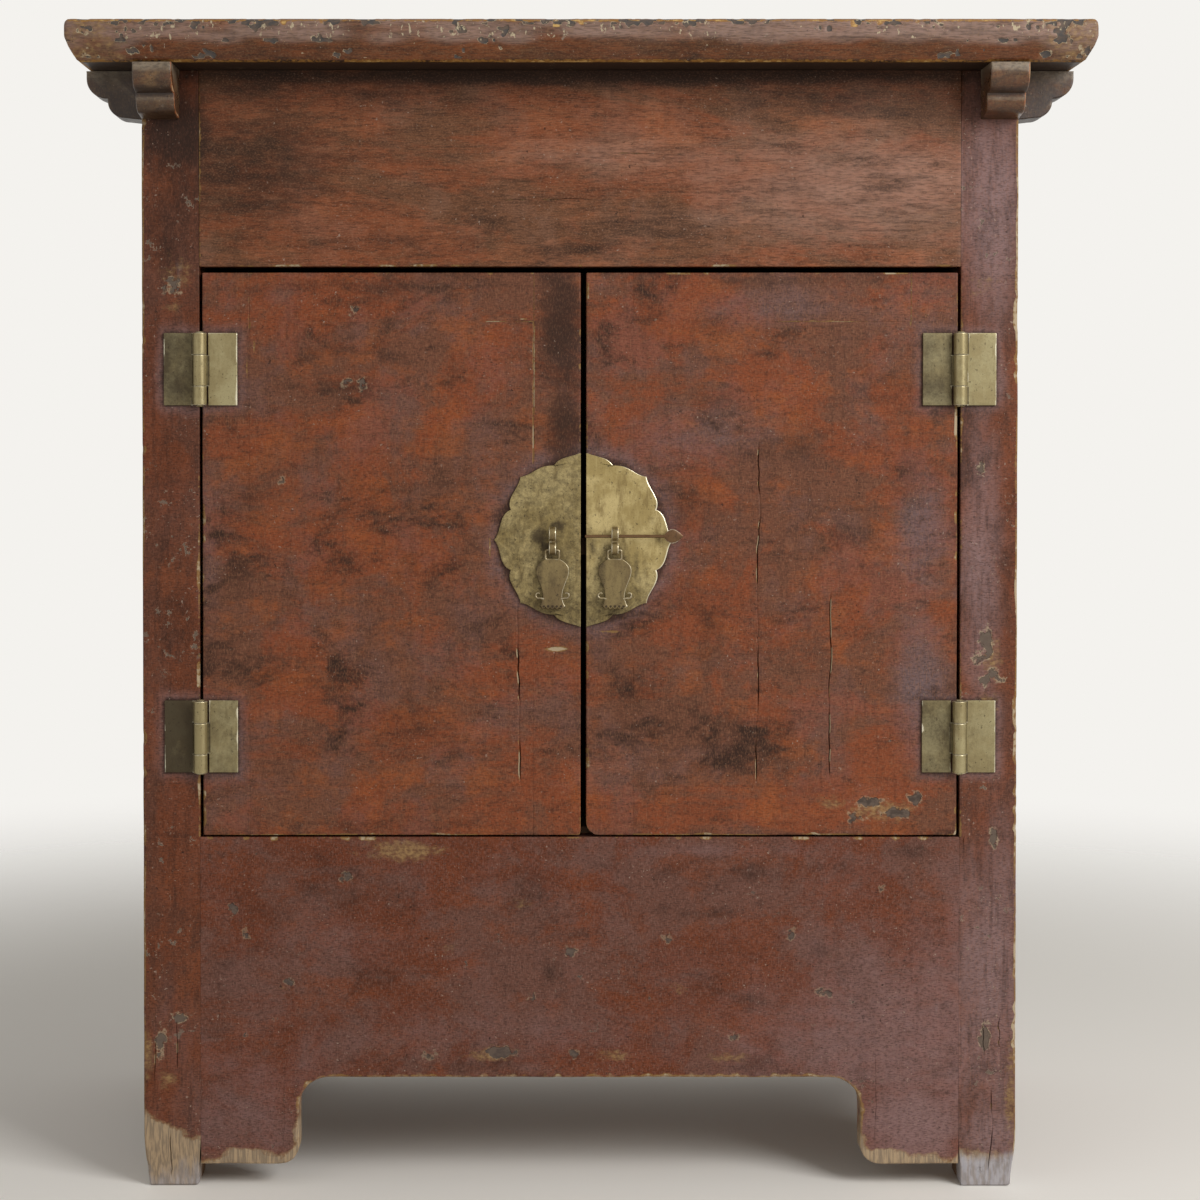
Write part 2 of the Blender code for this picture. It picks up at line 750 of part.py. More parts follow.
# Doors: two stiles, two rails tenoned into them, and a flush panel in their grooves
def stile_outline(x_span, corner, rounded_at):
    # A stile's front outline, with its lower corner rounded at the x given
    if not rounded_at:
        left, right = x_span
        return [(left, z_door), (right, z_door), (right, z_door_top), (left, z_door_top)]
    inward = 1 if rounded_at == x_span[0] else -1
    centre = (rounded_at + inward * corner, z_door + corner)
    other = x_span[1] if inward == 1 else x_span[0]
    curve = arc(centre, (inward * corner, corner), 180, 270)
    return [*curve, (other, z_door), (other, z_door_top), (rounded_at, z_door_top)]


def framed_door(side, sign):
    hinge_edge = sign * (x_open - DOOR_SIDE_GAP)
    free_edge = MEETING_OFFSET + sign * MEETING_GAP / 2
    stile_in = hinge_edge - sign * DOOR_STILE
    meeting_in = free_edge + sign * DOOR_STILE
    y_span = (y_front, y_front + DOOR_THICK)
    name = side + "_door"
    hinge_stile = prism(
        name + "_hinge_stile",
        [stile_outline(ordered(hinge_edge, stile_in), 0, None)],
        "XZ",
        *y_span,
        red_lacquer,
    )
    meeting_stile = prism(
        name + "_meeting_stile",
        [stile_outline(ordered(free_edge, meeting_in), WORN_CORNER[side], free_edge)],
        "XZ",
        *y_span,
        red_lacquer,
    )
    x_rail = ordered(stile_in, meeting_in)
    x_between = (x_rail[0] + GAP, x_rail[1] - GAP)
    y_mid = y_front + DOOR_THICK / 2
    tenon_inset = DOOR_TONGUE_LONG + DOOR_TENON_SHOULDER
    rails = {}
    for end, foot in (("top", z_door_top - DOOR_RAIL), ("bottom", z_door)):
        rail = box(
            f"{name}_{end}_rail",
            *corners(x_between, y_span, (foot, foot + DOOR_RAIL)),
            red_lacquer,
            BOARD_ARRIS,
        )
        tenon(
            rail,
            (x_rail[0] - DOOR_TENON_LONG, y_mid - DOOR_TENON_THICK / 2, foot + tenon_inset),
            (x_rail[1] + DOOR_TENON_LONG, y_mid + DOOR_TENON_THICK / 2, foot + DOOR_RAIL - tenon_inset),
            hinge_stile,
            meeting_stile,
        )
        rails[end] = rail
    z_panel_span = (z_door + DOOR_RAIL, z_door_top - DOOR_RAIL)
    panel = box(
        name + "_panel",
        *corners(
            x_between,
            (y_front, y_front + DOOR_PANEL),
            (z_panel_span[0] + GAP, z_panel_span[1] - GAP),
        ),
        red_lacquer,
        BOARD_ARRIS,
    )
    y_groove = y_front + DOOR_PANEL / 2
    tenon(
        panel,
        (
            x_rail[0] - DOOR_TONGUE_LONG,
            y_groove - DOOR_TONGUE_THICK / 2,
            z_panel_span[0] - DOOR_TONGUE_LONG,
        ),
        (
            x_rail[1] + DOOR_TONGUE_LONG,
            y_groove + DOOR_TONGUE_THICK / 2,
            z_panel_span[1] + DOOR_TONGUE_LONG,
        ),
        hinge_stile,
        meeting_stile,
        *rails.values(),
    )
    return hinge_stile, meeting_stile, [hinge_stile, meeting_stile, *rails.values(), panel]


# Hinges: leaves that lie on the wood and are held by two prongs each, knuckled round a headed pin
hinge_high = UPPER_KNUCKLE + MIDDLE_KNUCKLE + LOWER_KNUCKLE


def knuckle_spans(z_mid):
    foot = z_mid - hinge_high / 2
    lower = foot + LOWER_KNUCKLE
    upper = lower + MIDDLE_KNUCKLE
    return {
        "post": [(foot, lower - GAP), (upper + GAP, foot + hinge_high)],
        "door": [(lower, upper)],
    }


def hinge_leaf(name, x_axis, outward, z_mid, spans, seat):
    # outward is the direction from the barrel to the leaf's free edge
    near = BARREL_RADIUS + LEAF_CLEAR
    z_span = (z_mid - hinge_high / 2, z_mid + hinge_high / 2)
    y_span = (y_leaf - LEAF_THICK, y_leaf)
    leaf = box(
        name,
        *corners((x_axis + outward * near, x_axis + outward * (near + LEAF_WIDE)), y_span, z_span),
        old_brass,
    )
    for foot, head in spans:
        web = corners((x_axis, x_axis + outward * (near + LEAF_CLEAR)), y_span, (foot, head))
        middle = (x_axis, y_hinge, (foot + head) / 2)
        join(leaf, box(name + "_web", *web))
        join(leaf, rod(name + "_knuckle", middle, "Z", BARREL_RADIUS, head - foot))
    bore = rod(
        name + "_bore",
        (x_axis, y_hinge, z_mid),
        "Z",
        HINGE_PIN_RADIUS + GAP,
        hinge_high + 2 * CUT_PAST,
    )
    combine(leaf, bore, "DIFFERENCE")
    x_prong = x_axis + outward * (near + LEAF_WIDE / 2)
    for z_prong in (z_mid - hinge_high / 4, z_mid + hinge_high / 4):
        start = y_leaf - LEAF_THICK / 2
        end = y_leaf + PRONG_LONG
        middle = (x_prong, (start + end) / 2, z_prong)
        join(leaf, rod(name + "_prong", middle, "Y", PRONG_RADIUS, end - start, None, PRONG_SIDES))
        hole = rod(
            name + "_prong_hole",
            middle,
            "Y",
            PRONG_RADIUS + GAP,
            end - start + 2 * GAP,
            None,
            PRONG_SIDES,
        )
        combine(seat, hole, "DIFFERENCE")
    return leaf


def hinge(name, x_axis, sign, z_mid, post, stile):
    spans = knuckle_spans(z_mid)
    hinge_leaf(name + "_post_leaf", x_axis, sign, z_mid, spans["post"], post)
    door_leaf = hinge_leaf(name + "_door_leaf", x_axis, -sign, z_mid, spans["door"], stile)
    head_out = hinge_high / 2 + GAP + PIN_HEAD_THICK / 2
    pin = rod(name + "_pin", (x_axis, y_hinge, z_mid), "Z", HINGE_PIN_RADIUS, 2 * head_out, old_brass)
    for end in (-1, 1):
        middle = (x_axis, y_hinge, z_mid + end * head_out)
        join(pin, rod(name + "_pin_head", middle, "Z", PIN_HEAD_RADIUS, PIN_HEAD_THICK))
    return door_leaf


# Lock plates: one petalled disc in two halves, parted by the gap between the doors
def petal_radius(degrees):
    step = 180 / PLATE_PETALS
    from_tip = abs((degrees + step) % (2 * step) - step)
    tip = PLATE_TIP * math.exp(-from_tip / PLATE_TIP_DEGREES)
    return PLATE_LOBE_RADIUS + tip - PLATE_NOTCH * (from_tip / step) ** PLATE_NOTCH_POWER


def plate_outline(sign):
    # Half of the disc on one side of the meeting line, which its straight edge follows
    edge = MEETING_GAP / 2
    count = PLATE_PETALS * PETAL_STEPS
    turns = [90 - 180 * step / count for step in range(1, count)]
    rim = [(petal_radius(turn), math.radians(turn)) for turn in turns]
    points = [(radius * math.cos(turn), radius * math.sin(turn)) for radius, turn in rim]
    end = math.sqrt(petal_radius(90) ** 2 - edge**2)
    points = [(edge, end), *[point for point in points if point[0] > edge], (edge, -end)]
    return [(MEETING_OFFSET + sign * across, z_lock + up) for across, up in points]


# Staples: a strap bent into two eyes, whose shank goes through plate and stile and is clinched behind
def staple(side, sign, plate, stile):
    name = side + "_staple"
    x_mid = MEETING_OFFSET + sign * STAPLE_FROM_MEETING
    x_span = (x_mid - STRAP_WIDE / 2, x_mid + STRAP_WIDE / 2)
    y_behind = y_front + DOOR_THICK
    shank_low, shank_high = corners(
        x_span,
        (y_eye, y_behind + GAP + CLINCH_THICK),
        (z_lock - SHANK_HIGH / 2, z_lock + SHANK_HIGH / 2),
    )
    piece = box(name, shank_low, shank_high, old_brass)
    mortise(name + "_hole", shank_low, shank_high, plate, stile)
    web = corners(x_span, (y_eye, y_plate - GAP), (z_pull_eye, z_pin_eye))
    clinch = corners(
        x_span,
        (y_behind + GAP, y_behind + GAP + CLINCH_THICK),
        (z_lock - CLINCH_LONG, z_lock + CLINCH_LONG),
    )
    join(piece, box(name + "_web", *web), box(name + "_clinch", *clinch))
    eyes = ((z_pin_eye, PIN_EYE_RADIUS, pin_bore), (z_pull_eye, PULL_EYE_RADIUS, pull_bore))
    for z_eye, radius, _ in eyes:
        join(piece, rod(name + "_eye", (x_mid, y_eye, z_eye), "X", radius, STRAP_WIDE))
    for z_eye, _, bore in eyes:
        combine(piece, rod(name + "_bore", (x_mid, y_eye, z_eye), "X", bore, 2 * STRAP_WIDE), "DIFFERENCE")
    return piece, x_mid


# Drop pulls, which hang by a bar in the lower eye of their staple
def pull(side, x_mid):
    half = PULL_WINDOW_WIDE / 2 + PULL_COLLAR_SIDE
    collar = [(half, -PULL_BAR / 2)]
    body = smooth(PULL_BODY) + smooth(PULL_SCROLL) + smooth(PULL_FOOT)
    flank = [*collar, *body, PULL_FOOT[-1], *PULL_TEETH]
    outline = [(x_mid + wide, z_pull_bar - drop) for wide, drop in flank]
    outline += [(x_mid - wide, z_pull_bar - drop) for wide, drop in reversed(flank[:-1])]
    window_wide = PULL_WINDOW_WIDE / 2
    window = [
        (x_mid + across * window_wide, z_pull_bar - drop)
        for across, drop in (
            (-1, PULL_BAR / 2),
            (1, PULL_BAR / 2),
            (1, PULL_WINDOW_DROP),
            (-1, PULL_WINDOW_DROP),
        )
    ]
    y_span = (y_eye - PULL_THICK / 2, y_eye + PULL_THICK / 2)
    piece = prism(side + "_pull", [outline, window], "XZ", *y_span, old_brass)
    carry([piece], side + "_pull_axis", (x_mid, y_eye, z_pull_bar))


staple_x = {}
for side, sign in SIDES.items():
    hinge_stile, meeting_stile, pieces = framed_door(side, sign)
    post = posts[f"front_{side}_post"]
    for place, z_mid in (
        ("upper", z_door_top - HINGE_FROM_TOP),
        ("lower", z_door + HINGE_FROM_FOOT),
    ):
        pieces.append(hinge(f"{side}_{place}_hinge", sign * x_hinge, sign, z_mid, post, hinge_stile))
    plate = prism(side + "_lock_plate", [plate_outline(sign)], "XZ", y_plate, y_front - GAP, old_brass)
    eyes, staple_x[side] = staple(side, sign, plate, meeting_stile)
    pieces += [plate, eyes]
    carry(pieces, side + "_door_axis", (sign * x_hinge, y_hinge, (z_door + z_door_top) / 2))
    pull(side, staple_x[side])


# Lock pin, drawn back to the right so that both doors are free; slid left, it goes through both staples
def leaf_head(x_start):
    # A pointed oval, whose half height follows a sine along its length
    steps = 2 * ARC_STEPS
    shares = [step / steps for step in range(steps + 1)]
    rise = [LEAF_HEAD_HIGH / 2 * math.sin(math.pi * share) for share in shares]
    upper = [(x_start + LEAF_HEAD_LONG * share, up) for share, up in zip(shares, rise)]
    loop = upper + [(along, -up) for along, up in reversed(upper[1:-1])]
    return [(along, z_lock_pin + up) for along, up in loop]


x_pin = MEETING_OFFSET + MEETING_GAP / 2 - LOCK_PIN_TIP
lock_pin = rod(
    "lock_pin",
    (x_pin + LOCK_PIN_LONG / 2, y_eye, z_lock_pin),
    "X",
    LOCK_PIN_RADIUS,
    LOCK_PIN_LONG,
    old_brass,
)
head = prism(
    "lock_pin_head",
    [leaf_head(x_pin + LOCK_PIN_LONG - LEAF_HEAD_LAP)],
    "XZ",
    y_eye - LEAF_HEAD_THICK / 2,
    y_eye + LEAF_HEAD_THICK / 2,
)
join(lock_pin, head)
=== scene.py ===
import json
import math
import zlib

import bpy
import numpy as np
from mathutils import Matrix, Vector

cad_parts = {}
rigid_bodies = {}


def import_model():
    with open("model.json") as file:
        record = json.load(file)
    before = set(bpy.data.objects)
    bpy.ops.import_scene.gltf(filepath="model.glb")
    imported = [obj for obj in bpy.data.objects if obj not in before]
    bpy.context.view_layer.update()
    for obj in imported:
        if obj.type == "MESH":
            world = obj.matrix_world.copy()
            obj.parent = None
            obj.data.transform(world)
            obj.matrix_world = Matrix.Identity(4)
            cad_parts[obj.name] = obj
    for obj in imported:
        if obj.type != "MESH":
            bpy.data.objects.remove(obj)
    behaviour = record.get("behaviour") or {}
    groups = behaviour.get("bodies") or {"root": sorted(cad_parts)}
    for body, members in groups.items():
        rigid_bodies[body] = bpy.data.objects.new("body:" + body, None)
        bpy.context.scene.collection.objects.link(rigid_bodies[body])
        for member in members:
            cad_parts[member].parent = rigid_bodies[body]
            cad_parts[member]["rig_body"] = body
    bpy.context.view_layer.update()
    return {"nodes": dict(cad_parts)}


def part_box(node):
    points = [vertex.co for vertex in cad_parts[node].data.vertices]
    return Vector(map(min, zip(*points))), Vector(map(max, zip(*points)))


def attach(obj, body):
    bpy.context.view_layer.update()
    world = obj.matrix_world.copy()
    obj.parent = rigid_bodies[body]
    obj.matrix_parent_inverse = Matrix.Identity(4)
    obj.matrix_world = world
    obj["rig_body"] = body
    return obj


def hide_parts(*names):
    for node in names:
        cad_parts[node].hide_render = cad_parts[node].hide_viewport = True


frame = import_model()
print("frame loaded:", len(frame["nodes"]), "nodes")

mm = 0.001
body = {  # places of the solids, in metres
    "side": 0.436, "open": 0.379, "front": -0.198, "back": 0.242, "height": 1.115, "post": 0.057,
    "sill": 0.351, "head": 0.920, "frontBoard": 0.026, "wall": 0.433, "rear": 0.239,
    "topSide": 0.501, "topFront": -0.262, "topBack": 0.262, "top": 1.156, "topRail": 0.100,
    "lock": (0.0035, 0.648), "hinge": 0.3775, "hingeHeights": (0.818, 0.452),
}


def smoothStep(low, high, value):
    share = np.clip((value - low) / (high - low), 0, 1)
    return share * share * (3 - 2 * share)


def latticeNoise(points, size, seed):
    # random heights on a cubic lattice, size apart, joined by smooth steps: 0 to 1
    cells = 24
    table = np.random.default_rng(seed).random((cells, cells, cells))
    place = np.asarray(points, float) / size
    low = np.floor(place).astype(int)
    share = place - low
    share = share * share * (3 - 2 * share)
    total = np.zeros(place.shape[:-1])
    for corner in np.ndindex(2, 2, 2):
        weight = np.prod(np.where(corner, share, 1 - share), axis=-1)
        at = (low + corner) % cells
        total += weight * table[at[..., 0], at[..., 1], at[..., 2]]
    return total


def seedOf(name):
    return zlib.crc32(name.encode()) % 100000


def lineNoise(along, size, seed):
    line = np.stack([along, np.zeros_like(along), np.zeros_like(along)], axis=-1)
    return latticeNoise(line, size, seed)


# camera at the photograph's place: 2.4 m from the front, a degree downwards
view = {"lens": 72.3, "sensor": 36, "place": (-0.044, -2.598, 0.755), "pitch": 1.0, "shift": (0.0535, -0.1045)}
camera = bpy.data.objects.new("camera", bpy.data.cameras.new("camera"))
camera.data.lens = view["lens"]
camera.data.sensor_width = view["sensor"]
camera.data.shift_x, camera.data.shift_y = view["shift"]
camera.location = view["place"]
camera.rotation_euler = (math.radians(90 - view["pitch"]), 0, 0)
bpy.context.scene.collection.objects.link(camera)
bpy.context.scene.camera = camera
bpy.context.scene.view_settings.view_transform = "Standard"


# materials
def colour(hexText):
    srgb = np.array([int(hexText[at:at + 2], 16) for at in (1, 3, 5)]) / 255
    linear = np.where(srgb <= 0.04045, srgb / 12.92, ((srgb + 0.055) / 1.055) ** 2.4)
    return (*linear.tolist(), 1.0)


def add(tree, kind, settings=None, sockets=None):
    # a node with its settings; a socket takes a number, a colour or another node's output
    node = tree.nodes.new("ShaderNode" + kind)
    for key, value in (settings or {}).items():
        setattr(node, key, value)
    for key, value in (sockets or {}).items():
        if isinstance(value, bpy.types.NodeSocket):
            tree.links.new(value, node.inputs[key])
        else:
            node.inputs[key].default_value = value
    return node


def finish(name, look):
    # coats laid over each other, each one where its noise, of a real size in mm, or a mark that the piece carries
    # passes a threshold; a coat may change colour, roughness and height
    material = bpy.data.materials.new(name)
    material.use_nodes = True
    tree = material.node_tree
    shader = tree.nodes["Principled BSDF"]
    place = add(tree, "TexCoord").outputs["Object"]
    paint, rough, normal = colour(look["ground"]), look["rough"], None
    for coat in look["coats"]:
        shift = coat.get("shift", 0.0)
        spot = add(tree, "Mapping", {}, {
            "Vector": place, "Scale": coat.get("stretch", (1, 1, 1)), "Location": (shift, 1.7 * shift, 0.6 * shift),
        })
        noise = add(tree, "TexNoise", {}, {
            "Vector": spot.outputs[0], "Scale": 1000 / coat["size"], "Detail": coat.get("detail", 4.0),
            "Roughness": coat.get("grit", 0.6), "Distortion": coat.get("twist", 0.0),
        }).outputs[0]
        value, (low, high) = noise, coat["between"]
        if "mark" in coat:  # the mark's strength, made ragged by the noise
            carriedMark = add(tree, "Attribute", {"attribute_name": coat["mark"]})
            value = add(tree, "Math", {"operation": "MULTIPLY_ADD"}, {
                0: noise, 1: coat["ragged"], 2: carriedMark.outputs["Fac"],
            }).outputs[0]
            low, high = low + coat["ragged"] / 2, high + coat["ragged"] / 2
        share = add(tree, "MapRange", {"interpolation_type": "SMOOTHSTEP"}, {
            "Value": value, "From Min": low, "From Max": high, "To Max": coat["amount"],
        }).outputs[0]
        if "within" in coat:  # only inside patches of a larger noise
            size, low, high = coat["within"]
            wide = add(tree, "TexNoise", {}, {"Vector": spot.outputs[0], "Scale": 1000 / size})
            patch = add(tree, "MapRange", {}, {"Value": wide.outputs[0], "From Min": low, "From Max": high})
            share = add(tree, "Math", {"operation": "MULTIPLY"}, {0: share, 1: patch.outputs[0]}).outputs[0]
        if "paint" in coat:
            shade = colour(coat["paint"])
            if "grain" in coat:  # streaks of a second colour inside the coat
                size, stretch, second = coat["grain"]
                spot = add(tree, "Mapping", {}, {"Vector": place, "Scale": stretch})
                streak = add(tree, "TexNoise", {}, {"Vector": spot.outputs[0], "Scale": 1000 / size, "Detail": 5.0})
                part = add(tree, "MapRange", {"interpolation_type": "SMOOTHSTEP"}, {
                    "Value": streak.outputs[0], "From Min": 0.38, "From Max": 0.62,
                })
                shade = add(tree, "Mix", {"data_type": "RGBA"}, {0: part.outputs[0], 6: shade, 7: colour(second)})
                shade = shade.outputs[2]
            paint = add(tree, "Mix", {"data_type": "RGBA"}, {0: share, 6: paint, 7: shade}).outputs[2]
        if "rough" in coat:
            rough = add(tree, "Mix", {}, {0: share, 2: rough, 3: coat["rough"]}).outputs[0]
        if "bump" in coat or "sink" in coat:
            sockets = {"Height": noise, "Distance": coat.get("bump", 0) * mm}
            if "sink" in coat:
                sockets = {"Height": share, "Distance": -coat["sink"] * mm}
            if normal is not None:
                sockets["Normal"] = normal
            normal = add(tree, "Bump", {}, sockets).outputs[0]
    for socket, value in (("Base Color", paint), ("Roughness", rough), ("Normal", normal)):
        tree.links.new(value, shader.inputs[socket])
    shader.inputs["Metallic"].default_value = look.get("metal", 0.0)
    shader.inputs["Specular IOR Level"].default_value = look.get("gloss", 0.5)
    return material


def woodMarks(rim, core, worn):
    # where the lacquer is thin, worn through, chipped off or cracked
    return [
        {"mark": "rubbed", "size": 9, "detail": 8, "grit": 0.72, "stretch": (0.7, 1, 1), "ragged": 1.7,
         "between": (0.30, 0.85), "amount": 0.9, "paint": "#94764E", "rough": 0.6, "grain": (3, (0.6, 1, 1), "#6B4E36")},
        # this mark carries worn edges, and also painted highlights on the lit lips of cracks and the corbels'
        # right-hand arrises
        {"mark": "wear", "size": 4, "ragged": 1.1, "between": (0.58, 0.80), "amount": 0.75, "paint": worn[0],
         "rough": 0.62, "sink": 0.2},
        {"mark": "wear", "size": 6, "ragged": 1.2, "between": (0.86, 1.08), "amount": 0.8, "paint": worn[1],
         "rough": 0.7, "sink": 0.2},
        {"mark": "bare", "size": 9, "detail": 6, "ragged": 0.9, "between": (0.38, 0.52), "amount": 0.4,
         "paint": "#A08660", "rough": 0.7},
        {"mark": "bare", "size": 9, "detail": 6, "ragged": 0.9, "between": (0.47, 0.62), "amount": 1.0,
         "paint": "#A68F72", "rough": 0.74, "sink": 0.3, "grain": (1.7, (1, 1, 0.10), "#857460")},
        {"mark": "damp", "size": 14, "stretch": (1, 1, 0.25), "ragged": 1.4, "between": (0.25, 1.05), "amount": 0.8,
         "paint": "#A6A5AC", "rough": 0.75, "grain": (4, (1, 1, 0.25), "#8C8788")},
        {"mark": "flake", "size": 11, "detail": 6, "ragged": 1.3, "within": (7, 0.44, 0.54), "between": (0.38, 0.47), "amount": rim,
         "paint": "#B2A184", "rough": 0.7},
        {"mark": "flake", "size": 11, "detail": 6, "ragged": 1.3, "between": (0.48, 0.56), "amount": 1.0,
         "paint": core, "rough": 0.74, "sink": 0.8, "grain": (4, (0.6, 1, 1), "#5E5046")},
        {"mark": "fleck", "size": 5, "stretch": (1, 1, 0.6), "ragged": 1.6, "between": (0.50, 0.57), "amount": 0.8,
         "paint": "#BCAC8E", "rough": 0.7, "sink": 0.3},
        {"mark": "dust", "size": 30, "ragged": 0.4, "between": (0.2, 0.7), "amount": 0.9, "rough": 0.92},
        {"mark": "inside", "size": 8, "ragged": 0.2, "between": (0.4, 0.6), "amount": 1.0, "paint": "#7A5B3E",
         "rough": 0.7, "grain": (2.8, (1, 1, 0.05), "#684C34")},
        {"mark": "crack", "size": 5, "ragged": 0.9, "between": (0.35, 0.95), "amount": 0.75, "paint": "#1A110D",
         "rough": 0.8},
    ]


def lacquerLook(ground, red, bright, dark, hazeSheen, pale, grain, hazeSheenAmount, darkness, chips, lines, rim=0.35,
                core="#463B34", rough=0.46, gloss=0.17, specks=0.66,
                worn=("#86663A", "#AC9B80")):
    # lacquer brushed over wood and rubbed for a lifetime: warm patches, dark smudges, a grey haze and bloom that also
    # serve as painted sheen, dirt with some painted shade, then fine brush lines both ways over all of them, and a few
    # lost flakes
    half = tuple(part**0.5 for part in grain)
    level, upright = lines
    one, two = ((0.14, 1, 1), (0.7, 1, 1)) if grain[0] < 0.3 else ((0.3, 1, 1), (1, 1, 0.4))
    return {"ground": ground, "rough": rough, "gloss": gloss, "coats": [
        {"size": 90, "stretch": half, "between": (0.45, 0.56), "amount": 0.9, "paint": red, "detail": 10,
         "grit": 0.71, "twist": 0.5, "rough": rough - 0.04},
        {"size": 40, "stretch": half, "between": (0.50, 0.64), "amount": 0.6, "paint": bright, "detail": 9,
         "grit": 0.70, "shift": 3.1},
        # grey-mauve haze in random clouds: partly the lacquer's own haze, partly a painted reflection of pale light in
        # the lacquer
        {"size": 75, "between": (0.48, 0.62), "amount": hazeSheenAmount, "paint": hazeSheen, "detail": 9, "grit": 0.66,
         "shift": 12.3, "rough": rough + 0.06},
        # this mark carries grey bloom, and also painted sheen where the light falls on the right-hand side and on the
        # top's upper band
        {"mark": "bloom_and_sheen", "size": 26, "stretch": half, "ragged": 0.8, "between": (0.25, 0.95), "amount": 0.85,
         "paint": hazeSheen, "detail": 10, "grit": 0.74, "rough": 0.5},
        {"size": 70, "stretch": half, "between": (0.53, 0.68), "amount": 0.85 * darkness, "paint": dark, "detail": 10,
         "grit": 0.72, "shift": 7.7, "twist": 0.3},
        # this mark carries dirt and stains, and also painted shade under the top's overhang, on its underside, on the
        # brackets and in the corbels' notches
        {"mark": "grime_and_shade", "size": 22, "stretch": half, "ragged": 1.3, "between": (0.15, 0.95), "amount": 0.9,
         "paint": dark, "detail": 10, "grit": 0.72, "rough": 0.5},
        {"size": 22, "stretch": grain, "between": (0.54, 0.72), "amount": 0.75 * darkness, "paint": dark,
         "detail": 10, "grit": 0.72, "shift": 9.9},
        {"size": 5, "stretch": (0.11, 1, 1), "between": (0.48, 0.72), "amount": level, "paint": dark, "detail": 3,
         "shift": 1.3, "bump": 0.06},
        {"size": 5, "stretch": (1, 1, 0.11), "between": (0.48, 0.72), "amount": upright, "paint": dark, "detail": 3,
         "shift": 17.3, "bump": 0.06},
        {"size": 8, "stretch": half, "between": (0.53, 0.70), "amount": 0.16, "paint": pale, "detail": 6, "grit": 0.7,
         "shift": 41.0},
        {"size": 1.3, "stretch": one, "between": (0.42, 0.70), "amount": 0.52, "paint": dark, "detail": 2,
         "shift": 5.5, "bump": 0.08},
        {"size": 1.5, "stretch": two, "between": (0.46, 0.72), "amount": 0.30, "paint": pale, "detail": 2,
         "shift": 25.5},
        {"mark": "grime_and_shade", "size": 22, "stretch": half, "ragged": 1.3, "between": (0.25, 1.1), "amount": 0.6,
         "paint": dark, "detail": 8, "grit": 0.70},
        {"size": 3.4, "within": (50, 0.44, 0.58), "between": (specks, specks + 0.05), "amount": 0.65, "paint": "#A08A7A",
         "detail": 3, "shift": 51.0},
        {"size": 4.2, "within": (60, 0.44, 0.60), "between": (0.66, 0.72), "amount": 0.75, "paint": dark,
         "detail": 3, "shift": 61.0, "sink": 0.3},
        {"size": 16, "between": (0.3, 0.7), "amount": 0.0, "shift": 31.1, "bump": 0.35},
        {"size": 11, "within": (80, 0.50, 0.58), "between": (chips, chips + 0.02), "amount": rim, "paint": "#A89682",
         "detail": 5, "grit": 0.65, "shift": 21.0},
        {"size": 11, "within": (80, 0.50, 0.58), "between": (chips + 0.025, chips + 0.05), "amount": 0.9,
         "paint": core, "detail": 5, "grit": 0.65, "shift": 21.0, "sink": 0.8},
    ] + woodMarks(rim, core, worn)}


redLacquer = finish("brushed_red_lacquer_doors", lacquerLook(
    "#6A4230", "#824225", "#924E27", "#301D14", "#6A5A5C", "#9A6C50", (0.4, 1, 1), 0.21, 1.25, 0.70, (0.28, 0.25)))
postLacquer = finish("brushed_red_lacquer_posts", lacquerLook(
    "#5C3626", "#6C381F", "#7C4428", "#26160E", "#866C6A", "#8A5C48", (1, 1, 0.3), 0.05, 0.68, 0.62, (0.16, 0.38),
    0.5, "#62554A", specks=0.645))
wellLacquer = finish("red_lacquer_well_bloomed_and_sheened", lacquerLook(
    "#664236", "#66321A", "#763C20", "#24140C", "#846866", "#8E6C60", (0.45, 1, 1), 0.10, 0.60, 0.655, (0.10, 0.14),
    0.26, "#4E423C"))
friezeLacquer = finish("thin_brown_lacquer_frieze", lacquerLook(
    "#66422C", "#80462A", "#985C3C", "#26170E", "#9A7868", "#A07458", (0.12, 1, 1), 0.15, 1.0, 0.74, (0.46, 0.12)))
topLacquer = finish("worn_brown_lacquer_top", lacquerLook(
    "#57331C", "#6C3A1C", "#824A26", "#20150E", "#8E7468", "#8A6A4C", (0.2, 1, 1), 0.05, 0.7, 0.66, (0.42, 0.06),
    0.85, "#4A4542", 0.42, 0.25, worn=("#94692E", "#C4A062")))
sideLacquer = finish("worn_brown_lacquer_sides", lacquerLook(
    "#57331C", "#6C3A1C", "#824A26", "#20150E", "#8E7468", "#8A6A4C", (1, 0.2, 1), 0.05, 0.7, 0.68, (0.20, 0.10),
    0.85, "#4A4542", 0.42, 0.25, worn=("#94692E", "#C4A062")))
corbelLacquer = finish("worn_olive_lacquer_corbels", lacquerLook(
    "#4A301C", "#633A1E", "#80603A", "#25160E", "#8A7E6C", "#806846", (1, 0.3, 1), 0.10, 0.9, 0.66, (0.10, 0.20),
    0.5, "#463B34", 0.27, 0.45, worn=("#8E5430", "#B49A76")))
planedWood = finish("hand_planed_softwood_boards", {
    # bare boards gone brown with age, long grain with darker late wood
    "ground": "#7B5C3E", "rough": 0.7, "coats": [
        {"size": 60, "stretch": (0.16, 1, 1), "between": (0.4, 0.65), "amount": 0.5, "paint": "#644A33", "detail": 6,
         "rough": 0.62},
        {"size": 4, "stretch": (0.04, 1, 1), "between": (0.42, 0.68), "amount": 0.5, "paint": "#553D2A",
         "detail": 4, "shift": 4.0, "bump": 0.2},
        {"size": 2, "between": (0.5, 0.7), "amount": 0.3, "paint": "#927351", "shift": 9.0, "bump": 0.1},
    ],
})


